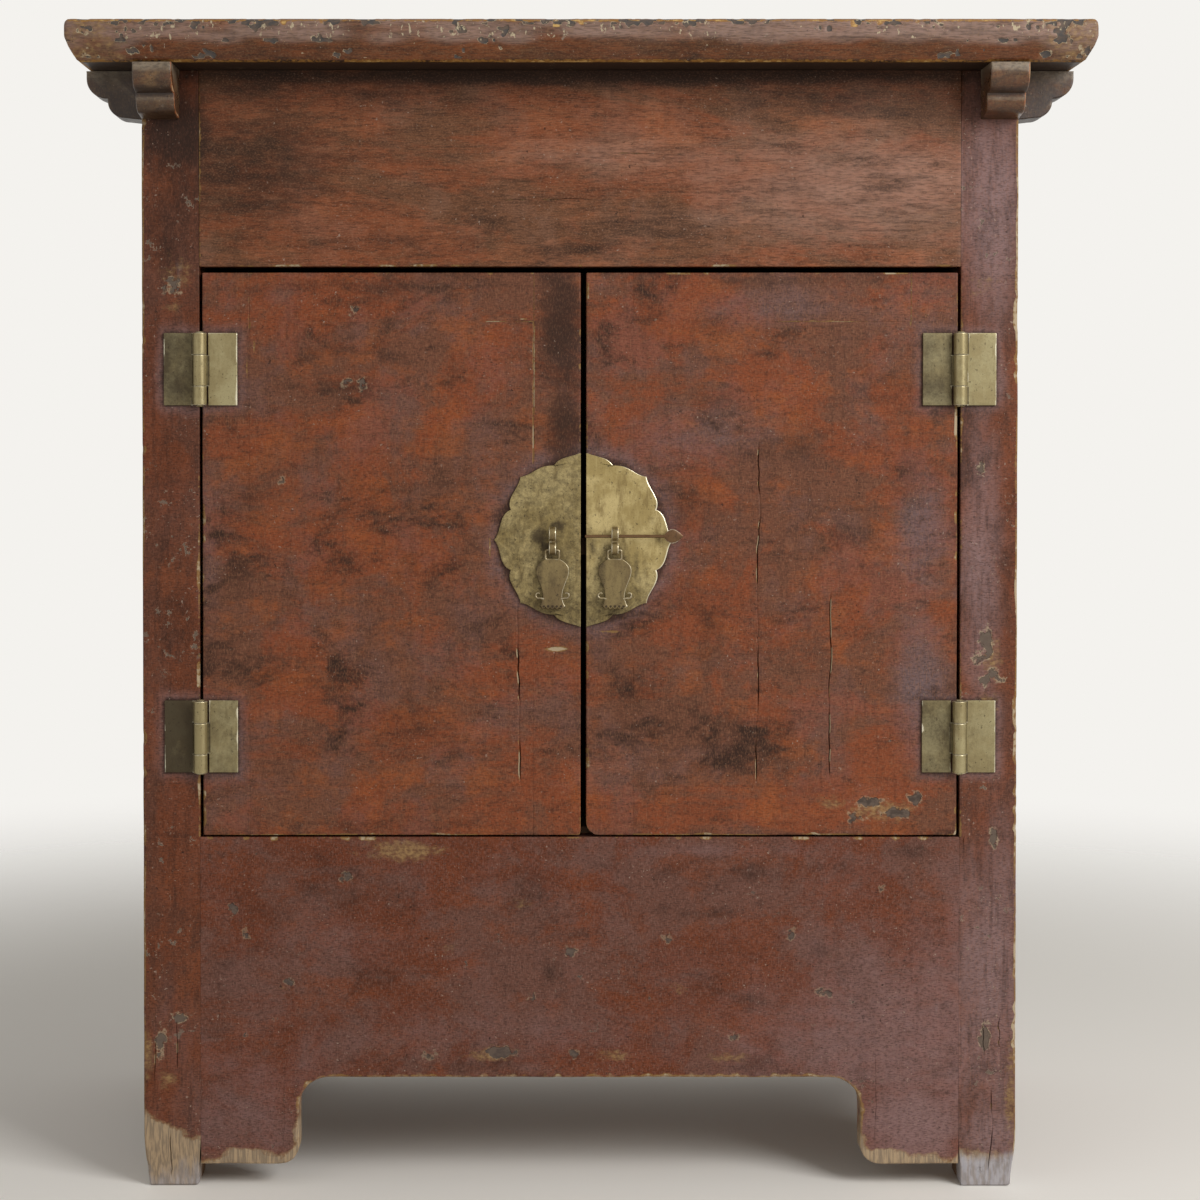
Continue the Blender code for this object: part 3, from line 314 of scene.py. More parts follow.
def brassLook(ground, bright, dull, dark, rough, ragged):
    # sheet brass with a dull olive skin, rubbed brighter in places, with streaks and dark spots of tarnish
    return {
        "ground": ground, "rough": rough, "metal": 0.55, "coats": [
            {"size": 40, "between": (0.42, 0.60), "amount": 0.75, "paint": bright, "detail": 6, "grit": 0.62,
             "rough": rough - 0.06},
            {"size": 12, "stretch": (1, 1, 0.35), "between": (0.52, 0.68), "amount": 0.7, "paint": dull,
             "detail": 8, "grit": 0.7, "shift": 2.0, "rough": rough + 0.12},
            {"size": 22, "stretch": (1, 1, 0.6), "between": (0.58, 0.72), "amount": 0.7, "paint": dark,
             "detail": 8, "grit": 0.7, "shift": 4.4, "rough": rough + 0.2},
            {"size": 3, "between": (0.60, 0.70), "amount": 0.75, "paint": dark, "detail": 5, "shift": 6.0,
             "rough": rough + 0.2},
            {"size": 1.2, "between": (0.5, 0.70), "amount": 0.35, "paint": dull, "detail": 3, "shift": 8.0,
             "bump": 0.04},
            {"size": 2.5, "stretch": (1, 1, 0.08), "between": (0.55, 0.68), "amount": 0.3, "paint": bright,
             "detail": 4, "shift": 11.0},
            {"size": 16, "between": (0.3, 0.7), "amount": 0.01, "paint": dull, "shift": 10.0, "bump": 0.22},
            # this mark carries tarnish and dirt, and also painted shade on the lock plate's left half and lower part
            # and on the pulls' left sides
            {"mark": "grime_and_shade", "size": 4.5, "detail": 8, "grit": 0.74, "ragged": ragged, "between": (0.15, 0.9), "amount": 0.9,
             "paint": "#2A1D0D", "rough": 0.6},
            # this mark carries rubbed bright metal, and also a painted highlight on the lit rims of the lock plate and
            # the pulls
            {"mark": "wear", "size": 4, "ragged": 0.4, "between": (0.4, 0.85), "amount": 0.8,
             "paint": "#EFE7CC", "rough": 0.22},
        ],
    }


oldBrass = finish("hammered_sheet_brass_aged", brassLook("#9C8856", "#CAB680", "#766238", "#2E2618", 0.34, 1.0))
rolledBrass = finish("rolled_strip_brass_aged", brassLook("#8E805A", "#A69B74", "#786A48", "#463A26", 0.38, 0.6))
castBrass = finish("cast_brass_pull_aged", brassLook("#6E5C3C", "#88764E", "#50412A", "#241B0F", 0.34, 1.0))
drawnCopper = finish("drawn_copper_rod_brown", brassLook("#5C4026", "#705436", "#46301C", "#2A1C11", 0.38, 1.0))
print("materials made")


# meshes
def carried(rings, marks=None, closed=False):
    # ring i holds the profile at station i: quads join each ring to the next, a flat face closes each end
    stations, points = rings.shape[:2]
    index = np.arange(stations * points).reshape(stations, points)
    if closed:
        index = np.concatenate([index, index[:1]])
    beside = np.roll(index, -1, axis=1)
    quads = np.stack([index[:-1], beside[:-1], beside[1:], index[1:]], axis=-1).reshape(-1, 4)
    caps = [] if closed else [index[0][::-1].tolist(), index[-1].tolist()]
    verts = rings.reshape(-1, 3)
    middle = verts.mean(axis=0)
    one, two, three, four = (verts[quads[:, corner]] - middle for corner in range(4))
    swept = np.einsum("ij,ij->", one, np.cross(two, three) + np.cross(three, four))
    for cap in caps:  # signed volume tells which way the faces look
        fan = verts[cap] - middle
        swept += np.einsum("ij,ij->", np.repeat(fan[:1], len(fan) - 2, axis=0), np.cross(fan[1:-1], fan[2:]))
    faces = quads.tolist() + caps
    if swept < 0:
        faces = [face[::-1] for face in faces]
    flatMarks = {key: np.broadcast_to(value, (stations, points)).reshape(-1) for key, value in (marks or {}).items()}
    return verts, faces, flatMarks


markNames = ("wear", "grime_and_shade", "bloom_and_sheen", "rubbed", "bare", "damp", "flake", "fleck", "dust", "inside", "crack")


def piece(name, node, shells, material, sharp=50):
    # one object of one or more closed shells, standing for a node and riding on its body
    verts = np.concatenate([shell[0] for shell in shells])
    faces, start = [], 0
    for shell in shells:
        faces += [[corner + start for corner in face] for face in shell[1]] if start else shell[1]
        start += len(shell[0])
    mesh = bpy.data.meshes.new(name)
    mesh.from_pydata(verts.tolist(), [], faces)
    for mark in markNames:
        parts = [shell[2].get(mark, np.zeros(len(shell[0]))) for shell in shells]
        value = np.concatenate(parts).astype(np.float32)
        if value.any():
            mesh.attributes.new(mark, "FLOAT", "POINT").data.foreach_set("value", value)
    mesh.shade_smooth()
    mesh.set_sharp_from_angle(angle=math.radians(sharp))
    mesh.materials.append(material)
    made = bpy.data.objects.new(name, mesh)
    bpy.context.scene.collection.objects.link(made)
    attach(made, frame["nodes"][node]["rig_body"])
    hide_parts(node)
    return made


# stains on the front, and a painted shadow under the top's overhang (the rows near z 1.09 to 1.11), as places and sizes
# in metres: x, z, half width, half height, strength
frontStainsAndShadow = [
    (-0.018, 0.86, 0.028, 0.080, 0.75), (-0.014, 0.760, 0.024, 0.060, 0.65), (0.020, 0.745, 0.020, 0.030, 0.30),
    (-0.23, 0.80, 0.055, 0.018, 0.38), (-0.245, 0.835, 0.060, 0.012, 0.35), (-0.16, 0.70, 0.05, 0.02, 0.30),
    (-0.33, 0.70, 0.030, 0.030, 0.35), (-0.17, 0.62, 0.030, 0.020, 0.30), (-0.34, 0.605, 0.012, 0.030, 0.35),
    (-0.17, 0.46, 0.060, 0.050, 0.34), (-0.28, 0.44, 0.030, 0.030, 0.34), (-0.19, 0.36, 0.20, 0.016, 0.30),
    (-0.20, 0.900, 0.18, 0.012, 0.40), (0.20, 0.905, 0.17, 0.010, 0.35), (0.06, 0.87, 0.03, 0.02, 0.30), (0.13, 0.79, 0.06, 0.02, 0.34),
    (0.22, 0.74, 0.07, 0.03, 0.36), (0.30, 0.80, 0.05, 0.03, 0.36), (0.27, 0.66, 0.06, 0.04, 0.32), (0.11, 0.68, 0.04, 0.04, 0.34), (0.13, 0.56, 0.030, 0.060, 0.35),
    (0.10, 0.60, 0.040, 0.030, 0.35), (0.24, 0.53, 0.030, 0.012, 0.30), (0.20, 0.42, 0.05, 0.02, 0.25),
    (0.06, 0.50, 0.030, 0.040, 0.35), (0.33, 0.70, 0.030, 0.060, 0.30), (0.30, 0.62, 0.02, 0.05, 0.25),
    # painted shadow under the top's overhang, along the frieze's upper edge
    (-0.33, 1.095, 0.060, 0.020, 0.50), (0.26, 1.085, 0.20, 0.028, 0.46), (-0.16, 1.090, 0.22, 0.022, 0.42), (0.0, 1.110, 0.60, 0.014, 0.80), (0.33, 1.095, 0.060, 0.020, 0.40),
    (-0.33, 1.02, 0.12, 0.09, 0.54), (-0.20, 0.945, 0.15, 0.014, 0.40),
    (-0.23, 1.03, 0.05, 0.015, 0.30), (0.10, 0.98, 0.06, 0.012, 0.28), (0.21, 1.00, 0.08, 0.020, 0.30),
    (-0.10, 0.935, 0.12, 0.010, 0.30), (0.02, 0.995, 0.05, 0.010, 0.26), (-0.24, 1.015, 0.02, 0.03, 0.25),
    (-0.40, 1.050, 0.045, 0.055, 0.85), (-0.41, 0.95, 0.04, 0.08, 0.45), (-0.41, 0.70, 0.020, 0.05, 0.25), (0.05, 0.320, 0.06, 0.014, 0.30),
    (0.13, 0.275, 0.05, 0.008, 0.45), (-0.28, 0.335, 0.05, 0.012, 0.25), (-0.02, 0.21, 0.02, 0.03, 0.25),
    (-0.09, 0.25, 0.03, 0.03, 0.2), (0.28, 0.10, 0.02, 0.04, 0.25),
    (0.083, 0.277, 0.020, 0.012, 0.38), (0.326, 0.337, 0.030, 0.012, 0.38), (0.236, 0.235, 0.020, 0.015, 0.32),
    (-0.052, 0.297, 0.030, 0.030, 0.38), (-0.030, 0.218, 0.012, 0.015, 0.45), (-0.307, 0.274, 0.030, 0.015, 0.38),
    (-0.205, 0.212, 0.030, 0.020, 0.34), (-0.250, 0.300, 0.060, 0.030, 0.30), (0.16, 0.315, 0.09, 0.02, 0.34),
]


# grey bloom, and painted sheen of the light from the right on the frieze's right half, the right post and the well's
# right side: x, z, half width, half height, strength
frontBloomAndSheen = [
    (0.41, 0.055, 0.05, 0.035, 0.95), (0.34, 0.15, 0.26, 0.16, 0.70), (-0.08, 0.15, 0.34, 0.06, 0.46), (0.33, 0.06, 0.08, 0.06, 0.95),
    (-0.33, 0.08, 0.14, 0.10, 0.56), (0.14, 0.338, 0.14, 0.012, 0.50), (-0.26, 0.24, 0.14, 0.05, 0.42),
    (0.41, 0.98, 0.04, 0.16, 0.90), (0.40, 0.62, 0.03, 0.20, 0.82), (0.41, 0.20, 0.06, 0.22, 0.85), (-0.41, 0.14, 0.05, 0.12, 0.45),
    (0.28, 1.00, 0.22, 0.080, 0.78), (0.02, 1.03, 0.20, 0.035, 0.55), (0.10, 0.75, 0.10, 0.050, 0.60),
    (0.34, 0.50, 0.04, 0.09, 0.85), (0.34, 0.66, 0.04, 0.08, 0.80), (0.20, 0.88, 0.14, 0.03, 0.60),
    (-0.37, 0.62, 0.02, 0.14, 0.50), (-0.30, 0.40, 0.06, 0.02, 0.40), (0.08, 0.42, 0.06, 0.04, 0.40),
]


def grimeAndShadeAt(points):
    # dirt round the brass: falls off from each plate's and leaf's edge; then the stains above, with the painted shadow
    # under the top
    x, y, z = points[..., 0], points[..., 1], points[..., 2]
    front = smoothStep(body["front"] + 0.010, body["front"] + 0.002, y)
    lockX, lockZ = body["lock"]
    rim = np.hypot(x - lockX, z - lockZ) - 0.083
    dirt_and_shade = 0.80 * np.exp(-(np.maximum(rim, 0) / 0.006) ** 1.3)
    for height in body["hingeHeights"]:
        past = np.hypot(np.maximum(np.abs(np.abs(x) - body["hinge"]) - 0.036, 0),
                        np.maximum(np.abs(z - height) - 0.036, 0))
        dirt_and_shade = np.maximum(dirt_and_shade, 0.70 * np.exp(-(past / 0.004) ** 1.3))
    edge = np.minimum(np.minimum(np.abs(np.abs(x) - 0.376), np.abs(x - 0.0035)), np.minimum(0.914 - z, z - 0.353))
    dirt_and_shade = np.maximum(dirt_and_shade, 0.42 * np.exp(-np.maximum(edge, 0) / 0.010) * (z > 0.352) * (z < 0.915))
    for atX, atZ, wide, high, strong in frontStainsAndShadow:
        dirt_and_shade = np.maximum(dirt_and_shade, strong * 1.25 * np.exp(-((x - atX) / wide) ** 2 - ((z - atZ) / high) ** 2))
    return dirt_and_shade * front


def bloomAndSheenAt(points):
    # grey bloom of old wax and damp round the brass and along the doors' feet; on the right-hand side the same paint is
    # a painted sheen of the light from the right
    x, y, z = points[..., 0], points[..., 1], points[..., 2]
    front = smoothStep(body["front"] + 0.010, body["front"] + 0.002, y)
    lockX, lockZ = body["lock"]
    rim = np.hypot(x - lockX, z - lockZ) - 0.085
    bloom_and_sheen = 0.7 * np.exp(-(np.maximum(rim, 0) / 0.024) ** 1.5)
    for height in body["hingeHeights"]:
        past = np.hypot(np.maximum(np.abs(np.abs(x) - body["hinge"]) - 0.036, 0),
                        np.maximum(np.abs(z - height) - 0.036, 0))
        bloom_and_sheen = np.maximum(bloom_and_sheen, 0.7 * np.exp(-(past / 0.016) ** 1.5))
    for atX, atZ, wide, high, strong in frontBloomAndSheen:
        bloom_and_sheen = np.maximum(bloom_and_sheen, strong * np.exp(-((x - atX) / wide) ** 2 - ((z - atZ) / high) ** 2))
    return bloom_and_sheen * front


def soilShadeAndSheenMarks(points):
    damp = smoothStep(0.050, 0.000, points[..., 2]) * np.where(points[..., 0] > 0, 2.0, 0.7)
    return {"grime_and_shade": grimeAndShadeAt(points), "bloom_and_sheen": bloomAndSheenAt(points), "rubbed": placesAt(points, rubbedPlaces),
            "bare": bareAt(points), "damp": damp * (np.abs(points[..., 0]) > body["open"]),
            "flake": placesAt(points, lostFlakes), "wear": placesAt(points, scratches)}


rubbedPlaces = [  # thin lacquer: x, z, half width, half height, strength
    (-0.176, 0.337, 0.046, 0.013, 0.85), (0.300, 0.378, 0.045, 0.014, 0.75), (0.250, 0.386, 0.02, 0.010, 0.6),
    (0.411, 0.530, 0.012, 0.030, 0.65), (0.408, 0.485, 0.012, 0.014, 0.65), (-0.087, 0.133, 0.030, 0.010, 0.7),
    (0.034, 0.132, 0.020, 0.008, 0.7), (-0.432, 0.132, 0.008, 0.030, 0.75), (-0.413, 0.107, 0.012, 0.010, 0.75),
    (0.431, 0.09, 0.008, 0.06, 0.7), (0.150, 0.130, 0.03, 0.007, 0.6), (-0.30, 0.20, 0.02, 0.006, 0.45),
    (-0.13, 0.24, 0.012, 0.008, 0.5), (0.10, 0.20, 0.012, 0.010, 0.5), (-0.06, 0.285, 0.02, 0.008, 0.45),
    (-0.40, 0.915, 0.022, 0.020, 0.55), (-0.404, 0.88, 0.02, 0.010, 0.5), (0.40, 0.90, 0.02, 0.02, 0.45),
]


lostFlakes = [  # the same, where the lacquer has chipped off
    (-0.224, 0.877, 0.0094, 0.0091, 0.60), (-0.233, 0.805, 0.0094, 0.0087, 0.60), (-0.216, 0.804, 0.0094, 0.0136, 0.60),
    (-0.296, 0.708, 0.0094, 0.0087, 0.60), (0.290, 0.385, 0.0225, 0.0088, 0.70), (0.315, 0.375, 0.0225, 0.0069, 0.75),
    (0.335, 0.391, 0.0109, 0.0145, 0.60), (0.275, 0.371, 0.0145, 0.0091, 0.60), (0.405, 0.545, 0.0100, 0.0225, 0.75),
    (0.410, 0.510, 0.0181, 0.0145, 0.60), (0.398, 0.530, 0.0109, 0.0109, 0.60), (-0.334, 0.255, 0.0094, 0.0100, 0.60),
    (-0.347, 0.280, 0.0109, 0.0087, 0.60), (0.244, 0.195, 0.0117, 0.0087, 0.60), (-0.080, 0.135, 0.0225, 0.0075, 0.85),
    (-0.234, 0.310, 0.0094, 0.0109, 0.60), (-0.009, 0.235, 0.0094, 0.0109, 0.60), (-0.049, 0.190, 0.0094, 0.0087, 0.60),
    (-0.005, 0.135, 0.0094, 0.0087, 0.60), (-0.150, 0.134, 0.0128, 0.0087, 0.60), (0.155, 0.150, 0.0109, 0.0091, 0.60),
    (0.210, 0.255, 0.0094, 0.0091, 0.60), (-0.290, 0.205, 0.0094, 0.0087, 0.60), (0.300, 0.300, 0.0065, 0.0060, 0.60),
    (0.090, 0.250, 0.0094, 0.0087, 0.60), (-0.405, 0.900, 0.0145, 0.0145, 0.60), (0.400, 0.720, 0.0094, 0.0145, 0.60),
    (0.413, 0.350, 0.0075, 0.0150, 0.70), (-0.420, 0.145, 0.0075, 0.0250, 0.70), (0.405, 0.150, 0.0075, 0.0250, 0.70),
    (-0.400, 0.170, 0.0094, 0.0109, 0.60),
]


scratches = [  # the same, thin and pale
    (-0.023, 0.539, 0.0130, 0.0028, 1.7), (-0.090, 0.640, 0.0016, 0.0120, 1.1), (0.030, 0.556, 0.0200, 0.0020, 1.0),
    (-0.325, 0.840, 0.0015, 0.0100, 1.1), (-0.327, 0.895, 0.0016, 0.0120, 1.2), (-0.300, 0.708, 0.012, 0.001, 0.9),
    (-0.332, 0.820, 0.0015, 0.0200, 1.0), (0.095, 0.612, 0.0016, 0.0080, 1.0), (-0.056, 0.868, 0.008, 0.002, 1.0),
    (0.200, 0.800, 0.0012, 0.0150, 0.8), (0.345, 0.867, 0.0016, 0.0200, 0.9), (0.240, 0.867, 0.060, 0.001, 0.75),
]


def placesAt(points, places):
    # the strongest of a list of soft oval spots on the front
    x, y, z = points[..., 0], points[..., 1], points[..., 2]
    total = np.zeros(x.shape)
    for atX, atZ, wide, high, strong in places:
        total = np.maximum(total, strong * np.exp(-((x - atX) / wide) ** 2 - ((z - atZ) / high) ** 2))
    return np.where(y < body["front"] + 0.01, total, 0)


def bareAt(points):
    # share of bare wood, half at its border: the feet up to a wandering line, slanting on the left one
    x, y, z = points[..., 0], points[..., 1], points[..., 2]
    wander = latticeNoise(points, 0.03, 11) - 0.5
    line = 0.034 + 0.030 * wander
    line = np.where((x < -0.379) & (y < -0.13), 0.062 - 0.45 * (x + 0.410) + 0.022 * wander, line)
    line = np.where((x > 0.379) & (y < -0.13), 0.030 + 0.024 * wander, line)
    soft = np.where(x > 0, 0.045, 0.024)
    return np.clip(0.5 + (line - z) / soft, 0, 1) * (np.abs(x) > body["open"])


def waveAt(points, amount):
    # the plane's slow unevenness, always inwards
    return amount * (0.6 * latticeNoise(points, 0.11, 5) + 0.4 * latticeNoise(points, 0.037, 6))


plainArris = 0.05 * mm


def arrisAlong(stretches, along, seed):
    # radius and wear of one arris at each station: plain outside its stretches, worn round and chipped inside
    radius = np.full(along.shape, plainArris)
    wear = np.zeros(along.shape)
    for start, stop, rounded, rub, chip in stretches:
        share = smoothStep(start - 0.003, start, along) * (1 - smoothStep(stop, stop + 0.003, along))
        bite = smoothStep(0.60, 0.80, lineNoise(along, 0.009, seed + 1))
        bite *= smoothStep(0.42, 0.66, lineNoise(along, 0.06, seed + 2))
        vary = 0.5 + lineNoise(along, 0.03, seed)
        radius = np.maximum(radius, share * (rounded * vary + chip * bite) * mm)
        wear = np.maximum(wear, share * np.clip(rub * (0.65 + 0.5 * lineNoise(along, 0.05, seed + 3)) + 0.6 * bite, 0, 1))
    return radius, wear


nearEdge = np.array([0.15, 1.0, 2.4, 4.5, 8.0]) * mm
quarter = np.linspace(0, math.pi / 2, 5)
wearReach = 2.6 * mm


def spread(low, high, step):
    # places across a face: close together by its edges, step apart between
    near = nearEdge * min(1, 0.4 * (high - low) / nearEdge[-1])
    count = max(2, int(round((high - low - 2 * near[-1]) / step)))
    inner = np.linspace(low + near[-1], high - near[-1], count + 1)
    return np.concatenate([low + near[:-1], inner, (high - near[:-1])[::-1]])


def wornBoard(name, span, along, outer, edges=None, ends=((0.3, 0), (0.3, 0)), step=3.5, cracks=(), dents=(),
              wave=0.35, trims=None, hidden=(0, 1, 0), soil=soilShadeAndSheenMarks):
    # a rounded rectangle carried along the board; edges are lowOuter, highOuter, highInner, lowInner
    seed = seedOf(name)
    axisA, axisC = "xyz".index(along), "xyz".index(outer[1])
    axisB = 3 - axisA - axisC
    sign = 1 if outer[0] == "+" else -1
    (a0, a1), (b0, b1) = span[axisA], span[axisB]
    thick = span[axisC][1] - span[axisC][0]
    face = span[axisC][1] if sign > 0 else span[axisC][0]
    (lowRound, lowWear), (highRound, highWear) = ends
    low, high = lowRound * mm, highRound * mm
    count = max(3, int(round((a1 - a0 - low - high) / (step * mm))))
    stations = np.concatenate([
        a0 + low * (1 - np.cos(quarter)), np.linspace(a0 + low, a1 - high, count + 1)[1:-1],
        a1 - high * (1 - np.cos(quarter[::-1])),
    ])
    inset = np.zeros(stations.shape)
    inset[:5] = low * (1 - np.sin(quarter))
    inset[-5:] = high * (1 - np.sin(quarter[::-1]))
    trim = trims(stations) if trims else np.zeros((4,) + stations.shape)
    bLow, bHigh = b0 + inset + trim[0], b1 - inset - trim[1]
    dLow, dHigh = inset + trim[2], thick - inset - trim[3]
    stretches = edges or {}
    shapes = [
        arrisAlong(stretches.get(key, ()), stations, seed + 10 * order)
        for order, key in enumerate(("lowOuter", "highOuter", "highInner", "lowInner"))
    ]
    limit = 0.42 * min(b1 - b0, thick)
    radius = [np.minimum(shape[0], limit) for shape in shapes]
    wear = [shape[1] for shape in shapes]
    # columns of the outer face, gathered at each crack
    columns = spread(b0, b1, step * mm)
    crackOf = np.full(columns.shape, -1)
    crackShape = np.zeros(columns.shape)
    rimShape = np.zeros(columns.shape)
    for order, crack in enumerate(cracks):
        keep = np.abs(columns - crack["at"]) > 4.4 * mm
        line = crack["at"] + np.array([-1.5, -0.7, -0.22, 0.0, 0.22, 0.7, 1.5]) * crack.get("wide", 1.0) * mm
        columns = np.concatenate([columns[keep], line])
        crackOf = np.concatenate([crackOf[keep], np.full(7, order)])
        crackShape = np.concatenate([crackShape[keep], [0, 0, 0.8, 1, 0.8, 0, 0]])
        lit = crack.get("lit", 0)
        rimShape = np.concatenate([rimShape[keep], [0, lit < 1, 0.4, 0, 0.4, lit > -1, 0]])
    order = np.argsort(columns)
    columns, crackOf, crackShape, rimShape = columns[order], crackOf[order], crackShape[order], rimShape[order]
    share = (columns - b0) / (b1 - b0)
    across = (bLow + radius[0])[:, None] * (1 - share) + (bHigh - radius[1])[:, None] * share
    sunk = np.zeros(across.shape)
    cracked = np.zeros(across.shape)
    crackRimChipsAndHighlight = np.zeros(across.shape)
    for number, crack in enumerate(cracks):
        on = crackOf == number
        run = smoothStep(crack["from"] - 0.004, crack["from"] + 0.012, stations)
        run *= 1 - smoothStep(crack["to"] - 0.012, crack["to"] + 0.004, stations)
        run *= 0.3 + 0.7 * smoothStep(0.30, 0.58, lineNoise(stations, 0.022, seed + 50 + number))
        wobble = (lineNoise(stations, 0.045, seed + 70 + number) - 0.5) * 3 * mm
        wobble += (lineNoise(stations, 0.011, seed + 90 + number) - 0.5) * 1.2 * mm
        wobble += crack.get("drift", 0) * mm * smoothStep(crack["from"], crack["to"], stations)
        across[:, on] += wobble[:, None]
        sunk[:, on] += crack["deep"] * mm * run[:, None] * crackShape[on]
        cracked[:, on] = run[:, None] * crackShape[on]
        # pale flecks along the lip picked by the crack's lit key: chipped lacquer and a painted highlight, carried into
        # the wear mark
        fleck = smoothStep(0.40, 0.62, lineNoise(stations, 0.008, seed + 110 + number))
        crackRimChipsAndHighlight[:, on] = crack.get("rim", 1.0) * (run * fleck)[:, None] * rimShape[on]
    for atB, atA, wide, deepness in dents:
        away = ((across - atB) ** 2 + (stations[:, None] - atA) ** 2) / (wide * mm) ** 2
        sunk += deepness * mm * np.exp(-away)
    sideStep = max(4.0, step) * mm
    depths = spread(0, thick, sideStep) if thick > 0.022 else np.linspace(0, thick, 5)[1:-1]
    depthShare = depths / thick
    rear = np.linspace(0, 1, max(4, int((b1 - b0) / 0.02)) + 2)[1:-1]

    def turned(number, b, d, nb, nd):
        centreB = (bLow if number in (0, 3) else bHigh) + (1 if number in (0, 3) else -1) * radius[number]
        centreD = (dLow if number in (0, 1) else dHigh) + (1 if number in (0, 1) else -1) * radius[number]
        return (centreB[:, None] + radius[number][:, None] * nb, centreD[:, None] + radius[number][:, None] * nd)

    cos, sin = np.cos(quarter), np.sin(quarter)
    one = np.ones(stations.shape)[:, None]
    blocks = []  # across, depth, normal across, normal in depth, wear, hidden
    fromLow = (stations - a0)[:, None]
    fromHigh = (a1 - stations)[:, None]
    endRub = np.maximum(lowWear * np.exp(-fromLow / wearReach), highWear * np.exp(-fromHigh / wearReach))
    normals = [(-cos, -sin), (sin, -cos), (cos, sin), (-sin, cos)]

    def rubbed(first, firstAway, second, secondAway):
        near = np.maximum(wear[first][:, None] * np.exp(-firstAway / wearReach),
                          wear[second][:, None] * np.exp(-secondAway / wearReach))
        return np.maximum(near, endRub)

    for number in range(4):
        nb, nd = normals[number]
        b, d = turned(number, None, None, nb, nd)
        inner = 1.0 if number in (2, 3) and hidden[1] else 0.0
        blocks.append((b, d, nb * one, nd * one, np.maximum(wear[number][:, None] * one, endRub) + 0 * b, inner + 0 * b))
        if number == 0:
            d = dLow[:, None] + 0 * across
            blocks.append((across, d, 0 * across, -1 + 0 * across,
                           rubbed(0, across - bLow[:, None], 1, bHigh[:, None] - across), 0 * across))
        elif number == 1:
            d = (dLow + radius[1])[:, None] * (1 - depthShare) + (dHigh - radius[2])[:, None] * depthShare
            b = bHigh[:, None] + 0 * d
            blocks.append((b, d, 1 + 0 * d, 0 * d, rubbed(1, d - dLow[:, None], 2, dHigh[:, None] - d),
                           hidden[0] * smoothStep(0.024, 0.030, d)))
        elif number == 2:
            b = (bHigh - radius[2])[:, None] * (1 - rear) + (bLow + radius[3])[:, None] * rear
            blocks.append((b, dHigh[:, None] + 0 * b, 0 * b, 1 + 0 * b,
                           rubbed(2, bHigh[:, None] - b, 3, b - bLow[:, None]), hidden[1] + 0 * b))
        else:
            back = depthShare[::-1]
            d = (dLow + radius[0])[:, None] * (1 - back) + (dHigh - radius[3])[:, None] * back
            b = bLow[:, None] + 0 * d
            blocks.append((b, d, -1 + 0 * d, 0 * d, rubbed(3, dHigh[:, None] - d, 0, d - dLow[:, None]),
                           hidden[2] * smoothStep(0.024, 0.030, d)))
    b, d, nb, nd, worn, inner = (np.concatenate([block[part] for block in blocks], axis=1) for part in range(6))
    rings = np.zeros(b.shape + (3,))
    rings[..., axisA] = stations[:, None]
    rings[..., axisB] = b
    rings[..., axisC] = face - sign * d
    push = waveAt(rings, wave * mm) * (1 if wave else 0)
    outerColumns = slice(5, 5 + len(columns))
    push[:, outerColumns] += sunk
    rings[..., axisC] = face - sign * (d - nd * push)
    crackMark = np.zeros(b.shape)
    crackMark[:, outerColumns] = cracked
    worn = worn * (0.55 + 0.75 * latticeNoise(rings, 0.017, seed + 5))
    marks = {"inside": inner, "crack": crackMark, **soil(rings)}
    worn[:, outerColumns] = np.maximum(worn[:, outerColumns], crackRimChipsAndHighlight)
    marks["wear"] = np.maximum(worn, marks.get("wear", 0))
    return carried(rings, marks)


